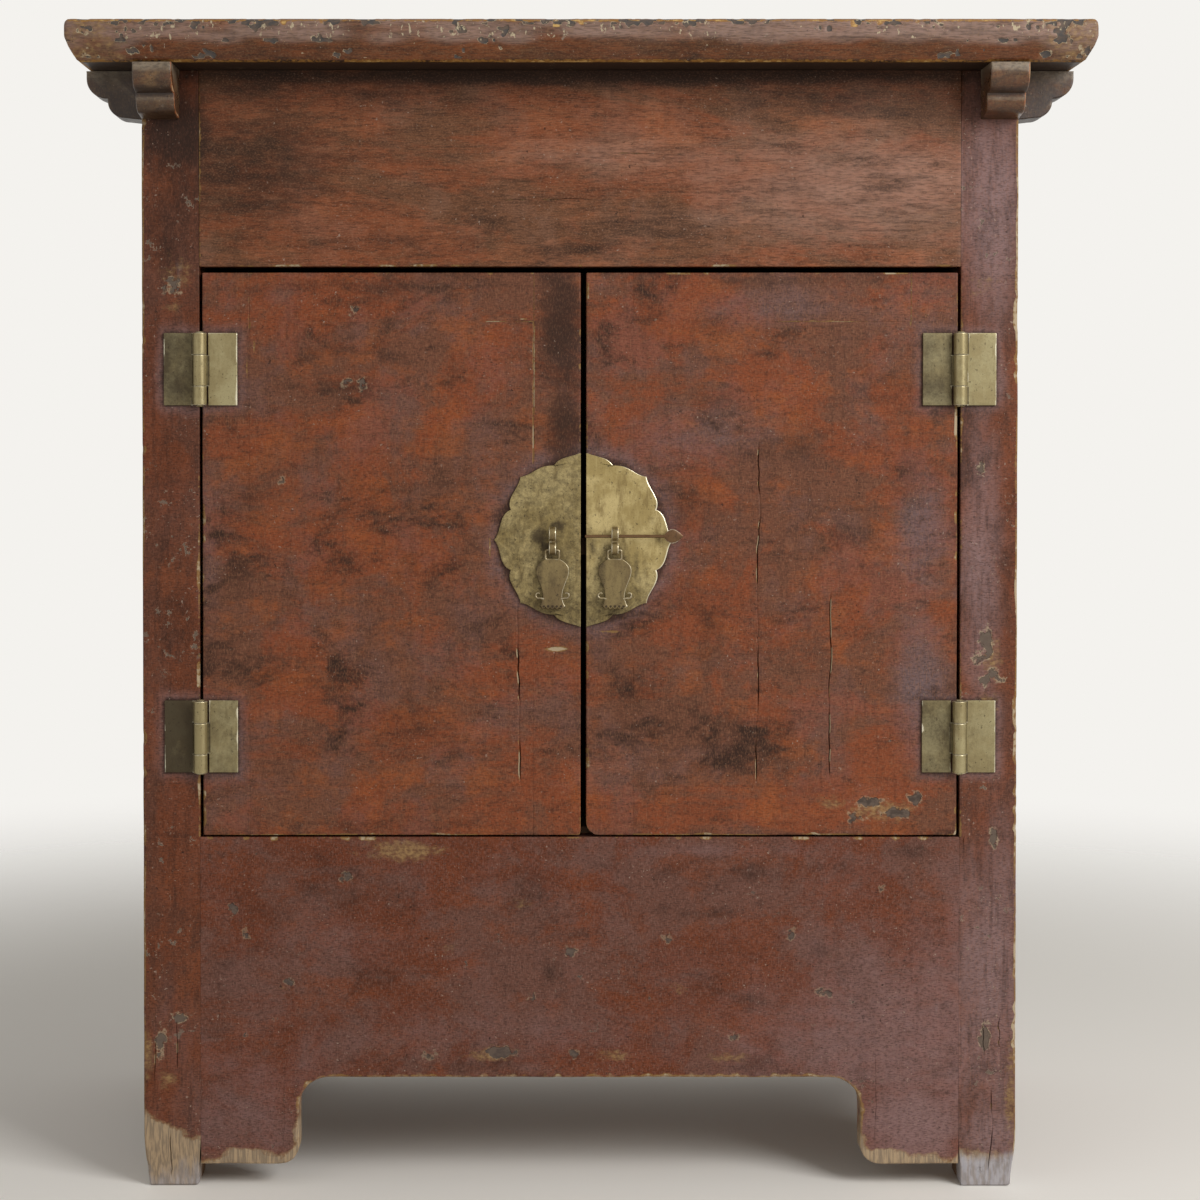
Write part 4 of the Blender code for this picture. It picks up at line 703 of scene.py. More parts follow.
# posts: the outer arris is rubbed all the way up, the inner one beside the doors; feet are worn narrower
postWear = {"outer": (2.0, 0.95, 2.2), "jamb": (1.1, 0.7, 1.5), "foot": 3.6, "footHeight": 0.055}
for node, sideSign, place in (
    ("front_left_post", -1, "front"), ("front_right_post", 1, "front"),
    ("back_left_post", -1, "back"), ("back_right_post", 1, "back"),
):
    xs = sorted((sideSign * body["open"], sideSign * body["side"]))
    ys = (body["front"], body["front"] + body["post"]) if place == "front" else (body["back"] - body["post"], body["back"])
    full = (0.0, body["height"])
    outerEdge = [full + postWear["outer"]]
    jambEdge = [(body["sill"], body["head"]) + postWear["jamb"], (0.0, 0.022, 1.5, 0.8, 1.5)]
    if place == "back":
        jambEdge = [(0.0, 0.022, 1.5, 0.8, 1.5)]
    keys = ("lowOuter", "highOuter") if sideSign < 0 else ("highOuter", "lowOuter")
    innerKeys = ("lowInner", "highInner") if sideSign < 0 else ("highInner", "lowInner")
    edges = {keys[0]: outerEdge, keys[1]: jambEdge, innerKeys[0]: [full + (1.5, 0.4, 1.0)]}

    def footTrim(stations, node=node):
        worn = (1 - smoothStep(0.0, postWear["footHeight"], stations)) * postWear["foot"] * mm
        return np.stack([worn * (0.7 + 0.6 * lineNoise(stations, 0.02, seedOf(node) + part)) for part in range(4)])

    cracks = []
    if node == "front_left_post":
        cracks = [{"at": -0.411, "from": 0.004, "to": 0.055, "deep": 1.6, "wide": 1.1},
                  {"at": -0.4275, "from": 0.105, "to": 0.180, "deep": 1.0, "wide": 0.9, "rim": 1.2},
                  {"at": -0.4030, "from": 0.110, "to": 0.172, "deep": 1.0, "wide": 0.9, "rim": 1.2}]
    if node == "front_right_post":
        cracks = [{"at": 0.412, "from": 0.006, "to": 0.100, "deep": 1.4, "wide": 1.0, "drift": 2.0},
                  {"at": 0.4055, "from": 0.130, "to": 0.180, "deep": 0.9, "wide": 0.9},
                  {"at": 0.4215, "from": 0.132, "to": 0.176, "deep": 0.8, "wide": 0.8},
                  {"at": 0.3830, "from": 0.010, "to": 0.080, "deep": 1.4, "wide": 1.0},
                  {"at": 0.3835, "from": 0.985, "to": 1.100, "deep": 2.0, "wide": 1.5},
                  {"at": 0.3830, "from": 0.320, "to": 0.356, "deep": 1.4, "wide": 1.1}]
    shell = wornBoard(
        node, (xs, ys, (0.0, body["height"] - 0.0003)), "z", "-y" if place == "front" else "+y", edges,
        ((2.5, 0.9), (0.3, 0)), cracks=cracks, trims=footTrim,
        hidden=(1, 1, 0) if sideSign < 0 else (0, 1, 1),
    )
    piece(node + "_lacquered", node, [shell], postLacquer)
print("posts carried")

# frieze, horizontal grain
frieze = {"cracks": [{"at": 0.985, "from": -0.12, "to": 0.05, "deep": 0.5, "wide": 0.7},
                     {"at": 1.032, "from": 0.02, "to": 0.16, "deep": 0.4, "wide": 0.6}]}
xs = (-body["open"] + 0.0001, body["open"] - 0.0001)
shell = wornBoard(
    "frieze_board", (xs, (body["front"], body["front"] + body["frontBoard"]), (body["head"], body["height"] - 0.0003)),
    "x", "-y", {"lowOuter": [(-0.38, 0.38, 1.0, 0.5, 1.0)]}, ((0.7, 1.0), (0.7, 0.5)), cracks=frieze["cracks"],
)
piece("frieze_board_lacquered", "frieze_board", [shell], friezeLacquer)


# boards with an arched foot
arch = {"top": 0.110, "round": 0.030, "foot": 0.023, "footRound": 0.019}


def archedFoot(half, lobe, step):
    # the lower outline from left to right: lobe, quarter turn, upright, quarter turn, arch, and back the same way
    inner = half - lobe
    footRound, archRound = arch["footRound"], arch["round"]
    turn = np.linspace(0, math.pi / 2, 12)[1:-1]
    lobeLine = np.arange(-half, -inner - footRound, step)
    lobeLine = np.stack([lobeLine, 0 * lobeLine + arch["foot"]], -1)
    lobeTurn = np.stack([-inner - footRound + footRound * np.sin(turn),
                         arch["foot"] + footRound - footRound * np.cos(turn)], -1)
    rise = np.arange(arch["foot"] + footRound, arch["top"] - archRound, step)
    rise = np.stack([0 * rise - inner, rise], -1)
    archTurn = np.stack([-inner + archRound - archRound * np.cos(turn),
                         arch["top"] - archRound + archRound * np.sin(turn)], -1)
    span = np.arange(-inner + archRound, 0, step)
    span = np.stack([span, 0 * span + arch["top"]], -1)
    left = np.concatenate([lobeLine, lobeTurn, rise, archTurn, span])
    right = left[::-1] * np.array([-1, 1])
    return np.concatenate([left, [[0.0, arch["top"]]], right])


def archedBoard(name, middle, half, lobe, top, runAxis, outer, face, thick, footEdge, topEdge, dents=(), wave=0.35):
    # lines fan out from the shaped foot to the straight top; each line is a rounded section of the board
    seed = seedOf(name)
    foot = archedFoot(half, lobe, 3.2 * mm)
    step = np.diff(foot, axis=0)
    runLength = np.concatenate([[0], np.cumsum(np.hypot(step[:, 0], step[:, 1]))])
    tangent = np.gradient(foot, runLength, axis=0)
    tangent /= np.hypot(tangent[:, 0], tangent[:, 1])[:, None]
    inward = np.stack([-tangent[:, 1], tangent[:, 0]], -1)
    inward[0] = inward[-1] = (0, 1)
    onLobe = np.abs(foot[:-1, 0] + foot[1:, 0]) / 2 > half - lobe
    lean = np.abs(step[:, 0]) * np.where(onLobe, 0.7, 1.0) + 0.35 * np.abs(step[:, 1])
    lean = np.concatenate([[0], np.cumsum(lean)])
    head = np.stack([-half + 2 * half * lean / lean[-1], np.full(len(foot), top)], -1)
    radius, wear = arrisAlong([(0, runLength[-1]) + footEdge], runLength, seed)
    headRadius, headWear = arrisAlong([(-1, 1) + topEdge], head[:, 0], seed + 30)
    zone = np.array([1.0, 2.5, 5.0, 9.0, 13.0]) * mm
    rows = np.linspace(0, 1, max(4, int((top - arch["top"]) / 0.0034)))[1:-1]
    cos, sin = np.cos(quarter), np.sin(quarter)
    blocks = []  # offset from the foot, share of the fan, offset from the head, depth, rub, inside
    nothing = np.full((len(foot), 1), np.nan)

    def block(footAway=None, fan=None, headAway=None, depth=0.0, rub=0.0, inside=0.0):
        size = max(np.shape(part)[-1] if np.ndim(part) else 1 for part in (footAway, fan, headAway, depth) if part is not None)
        shape = (len(foot), size)
        values = [nothing if part is None else part for part in (footAway, fan, headAway)]
        blocks.append([np.broadcast_to(value, shape) for value in (*values, depth, rub, inside)])

    r, h = radius[:, None], headRadius[:, None]
    w, v = wear[:, None], headWear[:, None]
    frontZone = r + zone
    block(footAway=r * (1 - cos), depth=r * (1 - sin), rub=w)
    block(footAway=frontZone, rub=w * np.exp(-zone / wearReach))
    block(fan=rows)
    block(headAway=(h + zone)[:, ::-1], rub=v * np.exp(-zone / wearReach)[::-1])
    block(headAway=h * (1 - sin), depth=h * (1 - cos), rub=v)
    block(headAway=0.0, depth=np.linspace(0.25, 0.75, 3) * thick, rub=v * 0.2)
    block(headAway=plainArris, depth=thick, inside=1.0)
    block(fan=rows[::-6], depth=thick, inside=1.0)
    block(footAway=np.array([6.0, 1.0]) * mm, depth=thick, inside=1.0)
    back = np.full((len(foot), 1), 1.0 * mm)
    block(footAway=back * (1 - cos[::-1]), depth=thick - back * (1 - sin[::-1]), inside=0.0, rub=0.3)
    block(footAway=0.0, depth=np.linspace(0.75, 0.25, 3) * thick, rub=w * 0.35)
    footAway, fan, headAway, depth, rub, inside = (np.concatenate([part[order] for part in blocks], 1) for order in range(6))
    low = foot[:, None] + inward[:, None] * np.nan_to_num(footAway)[..., None]
    lowEdge = foot + inward * (radius + zone[-1])[:, None]
    highEdge = head - np.array([0, 1]) * (headRadius + zone[-1])[:, None]
    fanned = lowEdge[:, None] * (1 - np.nan_to_num(fan))[..., None] + highEdge[:, None] * np.nan_to_num(fan)[..., None]
    high = head[:, None] - np.array([0, 1]) * np.nan_to_num(headAway)[..., None]
    flatPlace = np.where(~np.isnan(footAway)[..., None], low, np.where(~np.isnan(fan)[..., None], fanned, high))
    axisRun, axisOut = "xyz".index(runAxis), "xyz".index(outer[1])
    sign = 1 if outer[0] == "+" else -1
    rings = np.zeros(flatPlace.shape[:2] + (3,))
    rings[..., axisRun] = middle + flatPlace[..., 0]
    rings[..., 2] = flatPlace[..., 1]
    rings[..., axisOut] = face - sign * depth
    frontFace = depth < 0.5 * mm
    push = waveAt(rings, wave * mm)
    for atRun, atUp, wide, deepness in dents:
        away = ((rings[..., axisRun] - atRun) ** 2 + (rings[..., 2] - atUp) ** 2) / (wide * mm) ** 2
        push = push + deepness * mm * np.exp(-away)
    rings[..., axisOut] -= sign * np.where(frontFace, push, 0)
    lobeShare = smoothStep(0.075, 0.035, foot[:, 1])
    reach = (0.3 + 11.0 * lobeShare) * (0.1 + 1.5 * lineNoise(runLength, 0.016, seed + 7)) * mm
    edgeAway = np.where(np.isnan(footAway), 1.0, footAway)
    marks = {**soilShadeAndSheenMarks(rings), "wear": rub, "inside": inside}
    marks["bare"] = np.clip(0.5 + (reach[:, None] - edgeAway) / 0.022, 0, 1)
    marks["rubbed"] = np.maximum(marks["rubbed"], 0.85 * lobeShare[:, None] * np.exp(-edgeAway / 0.010))
    return carried(rings, marks)


wellDents = [(-0.334, 0.255, 4, 0.7), (-0.347, 0.28, 4, 0.5), (0.244, 0.195, 5, 1.0), (-0.09, 0.135, 8, 0.6),
             (-0.27, 0.315, 4, 0.6), (0.19, 0.24, 4, 0.5), (0.165, 0.25, 4, 0.5), (0.03, 0.13, 6, 0.6)]
shell = archedBoard("well_board", 0.0, body["open"] - 0.0001, 0.098, body["sill"], "x", "-y", body["front"],
                    body["frontBoard"], (1.6, 0.75, 2.0), (1.0, 0.55, 1.2), wellDents)
piece("well_board_lacquered", "well_board", [shell], wellLacquer)
print("front boards carried")

# side and back walls
wallSpan = {
    "left_side": ("y", "-x", -body["wall"], (body["front"] + body["post"], body["back"] - body["post"])),
    "right_side": ("y", "+x", body["wall"], (body["front"] + body["post"], body["back"] - body["post"])),
    "back": ("x", "+y", body["rear"], (-body["open"], body["open"])),
}
wallSizes = {"rail": (0.028, 1.055), "panel": (0.015, 0.200), "apron": (0.022, 0.200), "lobe": 0.070}
for wall, (run, outer, face, (start, stop)) in wallSpan.items():
    inside = (start + 0.0002, stop - 0.0002)

    def wallBox(thick, heights, outer=outer, face=face, run=run, inside=inside):
        depth = sorted((face, face - thick if outer[0] == "+" else face + thick))
        return (depth, inside, heights) if run == "y" else (inside, depth, heights)

    thick, foot = wallSizes["rail"]
    shell = wornBoard(wall + "_top_rail", wallBox(thick, (foot, body["height"] - 0.0003)), run, outer,
                      {"lowOuter": [(-1, 1, 0.9, 0.4, 0.8)]}, ((0.5, 0.1), (0.5, 0.1)), step=5)
    railFinish = sideLacquer if run == "y" else friezeLacquer
    piece(wall + "_top_rail_lacquered", wall + "_top_rail", [shell], railFinish)
    thick, low = wallSizes["panel"]
    panelCracks = [{"at": start + (stop - start) * part, "from": 0.30 + 0.2 * part, "to": 0.80 + 0.1 * part,
                    "deep": 0.8, "wide": 0.9} for part in ((0.31, 0.72) if run == "y" else (0.24, 0.52, 0.81))]
    shell = wornBoard(wall + "_panel", wallBox(thick, (low + 0.0002, foot - 0.0002)), "z", outer,
                      {key: [(0.2, 1.055, 0.5, 0.15, 0.4)] for key in ("lowOuter", "highOuter")},
                      ((0.5, 0.15), (0.5, 0.1)), step=5, cracks=panelCracks, wave=0.6)
    piece(wall + "_panel_lacquered", wall + "_panel", [shell], postLacquer)
    thick, top = wallSizes["apron"]
    half = (stop - start) / 2 - 0.0002
    shell = archedBoard(wall + "_apron", (start + stop) / 2, half, wallSizes["lobe"], top, run, outer, face, thick,
                        (1.6, 0.85, 2.0), (0.5, 0.15, 0.4))
    piece(wall + "_apron_lacquered", wall + "_apron", [shell], wellLacquer)
print("walls carried")

# top: a moulded edge carried between mitres, round a flush panel
topShape = {"round": 0.0072, "band": 0.017, "slant": 0.012, "cornerRound": 0.004, "chip": 0.9}


def mouldedEdge():
    # closed profile as distance in from the outer edge and height: band, slant, underside, inner edge, top, round
    top, foot, rail = body["top"], body["height"], body["topRail"]
    rounded, band, slant = topShape["round"], topShape["band"], topShape["slant"]
    arris = 0.0016
    line = np.linspace(0, 1, 8)[1:-1]
    bandLine = np.stack([0 * line, top - rounded - (band - rounded) * line], -1)
    slantLine = np.stack([slant * np.linspace(0, 1, 14), top - band - (top - band - foot) * np.linspace(0, 1, 14)], -1)
    slantLine[:, 0] = slant * np.linspace(0, 1, 14) ** 1.25
    slantLine = slantLine[:-1]
    under = np.array([[slant + arris, foot], [slant + 0.01, foot], [slant + 0.03, foot], [rail - 0.001, foot]])
    inner = np.array([[rail - 0.0003, foot + 0.001], [rail - 0.0003, top - 0.001]])
    over = np.linspace(rail - 0.001, rounded + 0.001, 30)
    over = np.stack([over, 0 * over + top], -1)
    turn = np.linspace(math.pi / 2, 0, 7)
    turned = np.stack([rounded - rounded * np.cos(turn), top - rounded + rounded * np.sin(turn)], -1)
    return np.concatenate([bandLine, slantLine, under, inner, over, turned])


def roundCorner(rings):
    # the square at each corner of the top, seen from above, drawn in to a quarter circle
    size = topShape["cornerRound"]
    x, y = rings[..., 0], rings[..., 1]
    midY = (body["topFront"] + body["topBack"]) / 2
    halfY = (body["topBack"] - body["topFront"]) / 2
    overX = np.maximum(np.abs(x) - body["topSide"] + size, 0)
    overY = np.maximum(np.abs(y - midY) - halfY + size, 0)
    shrink = np.where((overX > 0) & (overY > 0),
                      np.maximum(overX, overY) / np.maximum(np.hypot(overX, overY), 1e-9), 1)
    rings[..., 0] = np.sign(x) * (np.abs(x) - overX * (1 - shrink))
    rings[..., 1] = midY + np.sign(y - midY) * (np.abs(y - midY) - overY * (1 - shrink))
    return rings


def topRail(name, side):
    profile = mouldedEdge()
    inward, height = profile[:, 0], profile[:, 1]
    long = 2 * body["topSide"] if side in ("front", "back") else body["topBack"] - body["topFront"]
    count = int(long / (0.0024 if side == "back" else 0.0014))
    share = np.linspace(0, 1, count)[:, None]
    gap = 0.0001
    if side in ("front", "back"):
        reach = body["topSide"] - inward - gap
        x = -reach + 2 * reach * share
        y = body["topFront"] + inward + 0 * share if side == "front" else body["topBack"] - inward + 0 * share
    else:
        lowY, highY = body["topFront"] + inward + gap, body["topBack"] - inward - gap
        y = lowY + (highY - lowY) * share
        x = (body["topSide"] - inward + 0 * share) * (-1 if side == "left" else 1)
    rings = roundCorner(np.stack([x, y, height + 0 * share], -1))
    # outward normal of the profile, from its neighbours
    ahead = np.roll(profile, -1, axis=0) - np.roll(profile, 1, axis=0)
    normal = np.stack([ahead[:, 1], -ahead[:, 0]], -1)
    normal /= np.hypot(normal[:, 0], normal[:, 1])[:, None]
    edgeFace = (height < body["top"] - 0.0003) & (height > body["height"] + 0.0005) & (inward < 0.03)
    upper = np.clip((height - (body["top"] - 0.024)) / 0.016, 0, 1) * (inward < 0.014)
    # flakes of lacquer lost from the edge, thickest along its upper half
    torn = 0.6 * latticeNoise(rings * np.array([0.6, 0.6, 1]), 0.009, 31) + 0.4 * latticeNoise(rings, 0.0042, 32)
    flake = smoothStep(0.57, 0.72, torn + 0.10 * upper - 0.05)
    flake *= smoothStep(0.38, 0.56, latticeNoise(rings, 0.045, 33))
    cornerX = smoothStep(0.075, 0.02, body["topSide"] - np.abs(rings[..., 0]))
    cornerX *= smoothStep(0.50, 0.62, torn + 0.03)
    cornerY = smoothStep(0.12, 0.03, body["topBack"] - np.abs(rings[..., 1]))
    near = ((inward < 0.02) & (height > body["height"] + 0.002))[None, :]
    flake = np.maximum(flake, 0.5 * cornerX * cornerY) * near
    chip = smoothStep(0.62, 0.85, latticeNoise(rings, 0.012, 35)) * (np.abs(inward - 0.003) < 0.006) * (height > body["top"] - 0.01)
    push = topShape["chip"] * mm * flake + 0.3 * mm * chip + waveAt(rings, 0.5 * mm)
    push *= np.where(height > body["top"] - 0.004, 0.45, 1.0)
    outX, outY = normal[:, 0] * push, normal[:, 1] * push
    direction = {"front": (0, 1), "back": (0, -1), "left": (1, 0), "right": (-1, 0)}[side]
    # normal points out of the wood, so the push goes the other way
    turnSign = 1 if normal[2, 0] < 0 else -1
    rings[..., 0] -= turnSign * direction[0] * outX
    rings[..., 1] -= turnSign * direction[1] * outX
    rings[..., 2] -= turnSign * outY
    arrisTop = np.exp(-(np.hypot(inward - 0.0005, height - body["top"] + 0.0005) / 0.0038) ** 2)
    arrisFoot = np.exp(-(np.hypot(inward - topShape["slant"], height - body["height"]) / 0.0030) ** 2)
    wear = np.maximum(1.25 * arrisTop, 1.1 * arrisFoot) * (0.75 + 0.5 * latticeNoise(rings, 0.03, 41))
    wear = np.maximum(wear, chip)
    band = smoothStep(body["top"] - 0.034, body["top"] - 0.014, height) * (inward < 0.014)
    fleck = 0.34 * edgeFace * (0.3 + 0.7 * band) * smoothStep(0.34, 0.60, latticeNoise(rings, 0.03, 38))
    lowerBand = smoothStep(body["top"] - 0.022, body["top"] - 0.032, height) * (inward < 0.02)
    under = (height < body["height"] + 0.0006) & (inward > topShape["slant"] + 0.0008)
    endBare = smoothStep(0.10, 0.03, body["topSide"] - np.abs(rings[..., 0])) * cornerY * (inward < 0.02)
    patch = latticeNoise(rings * np.array([0.35, 0.35, 1]), 0.011, 42)
    # painted sheen: the upper band of the edge lightened as if lit from above, more towards the right-hand end, with
    # grey over the bare ends
    bloom_and_sheen = 1.05 * np.clip(band + 0.6 * endBare, 0, 1) * (0.35 + 0.95 * patch)
    bloom_and_sheen *= 1 + 0.25 * smoothStep(-0.2, 0.5, rings[..., 0])
    marks = {"wear": wear, "flake": np.clip(0.85 * flake * edgeFace, 0, 1), "rubbed": 0.55 * endBare, "bloom_and_sheen": bloom_and_sheen,
             "fleck": fleck, "dust": smoothStep(0.004, 0.012, inward) * (height > body["top"] - 0.0003) + 0 * wear,
             # painted shade: the top's underside painted dark; the lower band darkened a little
             "grime_and_shade": np.where(under, 1.2, 0.2 * lowerBand) + 0 * wear}
    return carried(rings, marks)


for side in ("front", "back", "left", "right"):
    node = f"top_{side}_rail"
    railFinish = topLacquer if side in ("front", "back") else sideLacquer
    piece(node + "_lacquered", node, [topRail(node, side)], railFinish)
panelX, panelY = body["topSide"] - body["topRail"], body["topFront"] + body["topRail"]


def settledDust(points):
    return {"dust": smoothStep(body["top"] - 0.004, body["top"] - 0.001, points[..., 2])}


shell = wornBoard("top_panel", ((-panelX, panelX), (panelY, body["topBack"] - body["topRail"]), (1.138, body["top"])),
                  "x", "+z", {key: [(-1, 1, 0.6, 0.3, 0.6)] for key in ("lowOuter", "highOuter")},
                  ((0.6, 0.3), (0.6, 0.3)), step=5, wave=0.6, soil=settledDust,
                  cracks=[{"at": 0.03, "from": -0.38, "to": -0.05, "deep": 0.9, "wide": 1.0},
                          {"at": -0.07, "from": 0.05, "to": 0.39, "deep": 0.8, "wide": 0.9}])
piece("top_panel_lacquered", "top_panel", [shell], topLacquer)
print("top carried")

# corbels and brackets: two rounded lobes under a band, carried across their width
corbel = {"out": 0.056, "wide": 0.038, "band": 0.008, "upper": (0.021, 0.020), "step": 0.002, "lower": 0.017,
          "heel": 0.002, "arris": 1.5}


def corbelOutline():
    # distance out from the post and drop below the top, from the post's face round to the heel
    turn = np.linspace(0, math.pi / 2, 12)
    notch = corbel["out"] - corbel["upper"][0]
    upper = np.stack([notch + corbel["upper"][0] * np.cos(turn), corbel["band"] + corbel["upper"][1] * np.sin(turn)], -1)
    lowDrop = corbel["band"] + corbel["upper"][1] + corbel["step"]
    lower = np.stack([notch - corbel["lower"] * (1 - np.cos(turn)), lowDrop + corbel["lower"] * np.sin(turn)], -1)
    bottom = lowDrop + corbel["lower"] + corbel["heel"]
    corners = np.concatenate([[[0.0003, 0.0003], [corbel["out"], 0.0003]], upper, lower, [[0.0003, bottom]]])
    # fill the long straight runs with points about 3 mm apart
    loop = np.concatenate([corners, corners[:1]])
    length = np.hypot(*np.diff(loop, axis=0).T)
    away = np.concatenate([[0], np.cumsum(length)])
    even = np.unique(np.round(np.concatenate([away, np.arange(0, away[-1], 0.003)]), 6))[:-1]
    even = even[np.concatenate([[True], np.diff(even) > 0.0004])]
    return np.stack([np.interp(even, away, loop[:, 0]), np.interp(even, away, loop[:, 1])], -1)


def corbelShell(name, outward, start, low, high):
    # the outline, drawn in towards the two ends so that their arrises are round
    outline = corbelOutline()
    ahead = np.roll(outline, -1, axis=0) - np.roll(outline, 1, axis=0)
    inward = np.stack([-ahead[:, 1], ahead[:, 0]], -1)
    inward /= np.hypot(inward[:, 0], inward[:, 1])[:, None]
    inward[outline[:, 1] < 0.001] *= np.array([1.0, 0.0])
    inward[outline[:, 0] < 0.001] *= np.array([0.0, 1.0])
    radius = corbel["arris"] * mm
    turn = np.linspace(0, math.pi / 2, 5)
    across = np.concatenate([[low, low], low + radius * (1 - np.cos(turn)), np.linspace(low + radius, high - radius, 12)[1:-1],
                             high - radius * (1 - np.cos(turn[::-1])), [high, high]])
    drawn = np.concatenate([[2.2 * radius, 1.6 * radius], radius * (1 - np.sin(turn)), np.zeros(10),
                            radius * (1 - np.sin(turn[::-1])), [1.6 * radius, 2.2 * radius]])
    flatPlace = outline[None] + inward[None] * drawn[:, None, None]
    rings = np.zeros(flatPlace.shape[:2] + (3,))
    axis = "xyz".index(outward[1])
    sign = 1 if outward[0] == "+" else -1
    rings[..., axis] = start + sign * flatPlace[..., 0]
    rings[..., 1 - axis] = across[:, None]
    rings[..., 2] = body["height"] - flatPlace[..., 1]
    push = waveAt(rings, 0.7 * mm) * (np.abs(drawn)[:, None] < radius)
    rings[..., axis] -= sign * push * -inward[:, 0]
    rings[..., 2] += push * -inward[:, 1]
    fromEnd = np.minimum(across - low, high - across)[:, None]
    wear = np.where(drawn[:, None] > radius, np.exp(-(drawn[:, None] - radius) / wearReach), np.exp(-fromEnd / wearReach))
    # painted highlight: the right-hand arrises of the front corbels get much more pale wear paint than the rest, over
    # real wear
    lit = 1.15 if outward[1] == "y" else 0.3
    lit = np.where(across > (low + high) / 2, lit, 0.25)[:, None]
    wear = lit * wear * (0.5 + 0.8 * latticeNoise(rings, 0.012, 83))
    wear = np.where(flatPlace[..., 0] < 0.004, 0.2 * wear, wear)
    drop = flatPlace[..., 1]
    # painted shade: the brackets darkened all over, and dark paint in the notch between the lobes and down the lower
    # lobe
    dirt_and_shade = (0.42 if outward[1] == "x" else 0.0) + 0.5 * smoothStep(0.034, 0.047, drop)
    dirt_and_shade = np.maximum(dirt_and_shade, 0.8 * np.exp(-((drop - 0.027) / 0.0045) ** 2))
    # painted sheen: a light band at the top and another along the top of the lower lobe
    sheen = 0.8 * smoothStep(0.015, 0.004, drop) + 0.6 * np.exp(-((drop - 0.033) / 0.003) ** 2)
    return carried(rings, {"wear": wear, "grime_and_shade": np.clip(dirt_and_shade, 0, 0.8), "bloom_and_sheen": sheen})


for side, sign in (("left", -1), ("right", 1)):
    node = side + "_corbel"
    low, high = sorted((sign * body["side"], sign * (body["side"] - corbel["wide"])))
    shell = corbelShell(node, "-y", body["front"], low, high)
    piece(node + "_lacquered", node, [shell], corbelLacquer)
    for end, low in (("front", body["front"] + 0.006), ("back", body["back"] - 0.006 - corbel["wide"])):
        node = f"{side}_{end}_bracket"
        shell = corbelShell(node, "+x" if sign > 0 else "-x", sign * body["side"], low, low + corbel["wide"])
        piece(node + "_lacquered", node, [shell], corbelLacquer)
print("corbels carried")

# doors: stiles, rails and panel lie flush; joints show only where the lacquer has cracked
door = {"foot": 0.353, "top": 0.914, "thick": 0.024, "stile": 0.047, "rail": 0.049, "panel": 0.016,
        "left": (-0.376, 0.00075), "right": (0.376, 0.00625), "corner": {"left": 0.003, "right": 0.013}}
doorWear = {"edge": (1.3, 0.6, 1.6), "foot": (1.1, 0.8), "head": (0.9, 0.5)}
doorMarks = {
    "left": {
        "joints": {"rail": [(-0.10, -0.045, 0.5, 0.7, 0.3)],
                   "meeting": [(0.725, 0.912, 0.8, 0.90, 0.3), (0.353, 0.395, 0.8, 0.6, 0)],
                   "hinge": [(0.855, 0.914, 0.9, 0.85, 1.0), (0.353, 0.376, 0.8, 0.5, 0)]},
        "cracks": [{"at": -0.0605, "from": 0.405, "to": 0.587, "deep": 2.0, "wide": 1.4, "drift": -2.0, "lit": -1, "rim": 1.9}],
        "dents": [(-0.224, 0.877, 4.5, 1.1), (-0.232, 0.807, 4.0, 0.9), (-0.216, 0.804, 5.0, 1.2), (-0.28, 0.76, 4, 0.5),
                  (-0.12, 0.62, 5, 0.5), (-0.17, 0.72, 6, 0.4)],
    },
    "right": {
        "joints": {"rail": [(0.19, 0.33, 0.5, 0.8, 0.3)],
                   "meeting": [(0.50, 0.52, 0.5, 0.1, 0)], "hinge": [(0.862, 0.914, 0.8, 0.92, 0.3)]},
        "cracks": [{"at": 0.1765, "from": 0.405, "to": 0.745, "deep": 1.8, "wide": 1.1, "drift": 1.5, "lit": -1, "rim": 1.7},
                   {"at": 0.249, "from": 0.410, "to": 0.594, "deep": 1.8, "wide": 1.1, "lit": 1, "rim": 1.8}],
        "dents": [(0.22, 0.60, 5, 0.5), (0.21, 0.51, 4, 0.5), (0.30, 0.55, 6, 0.4)],
    },
}
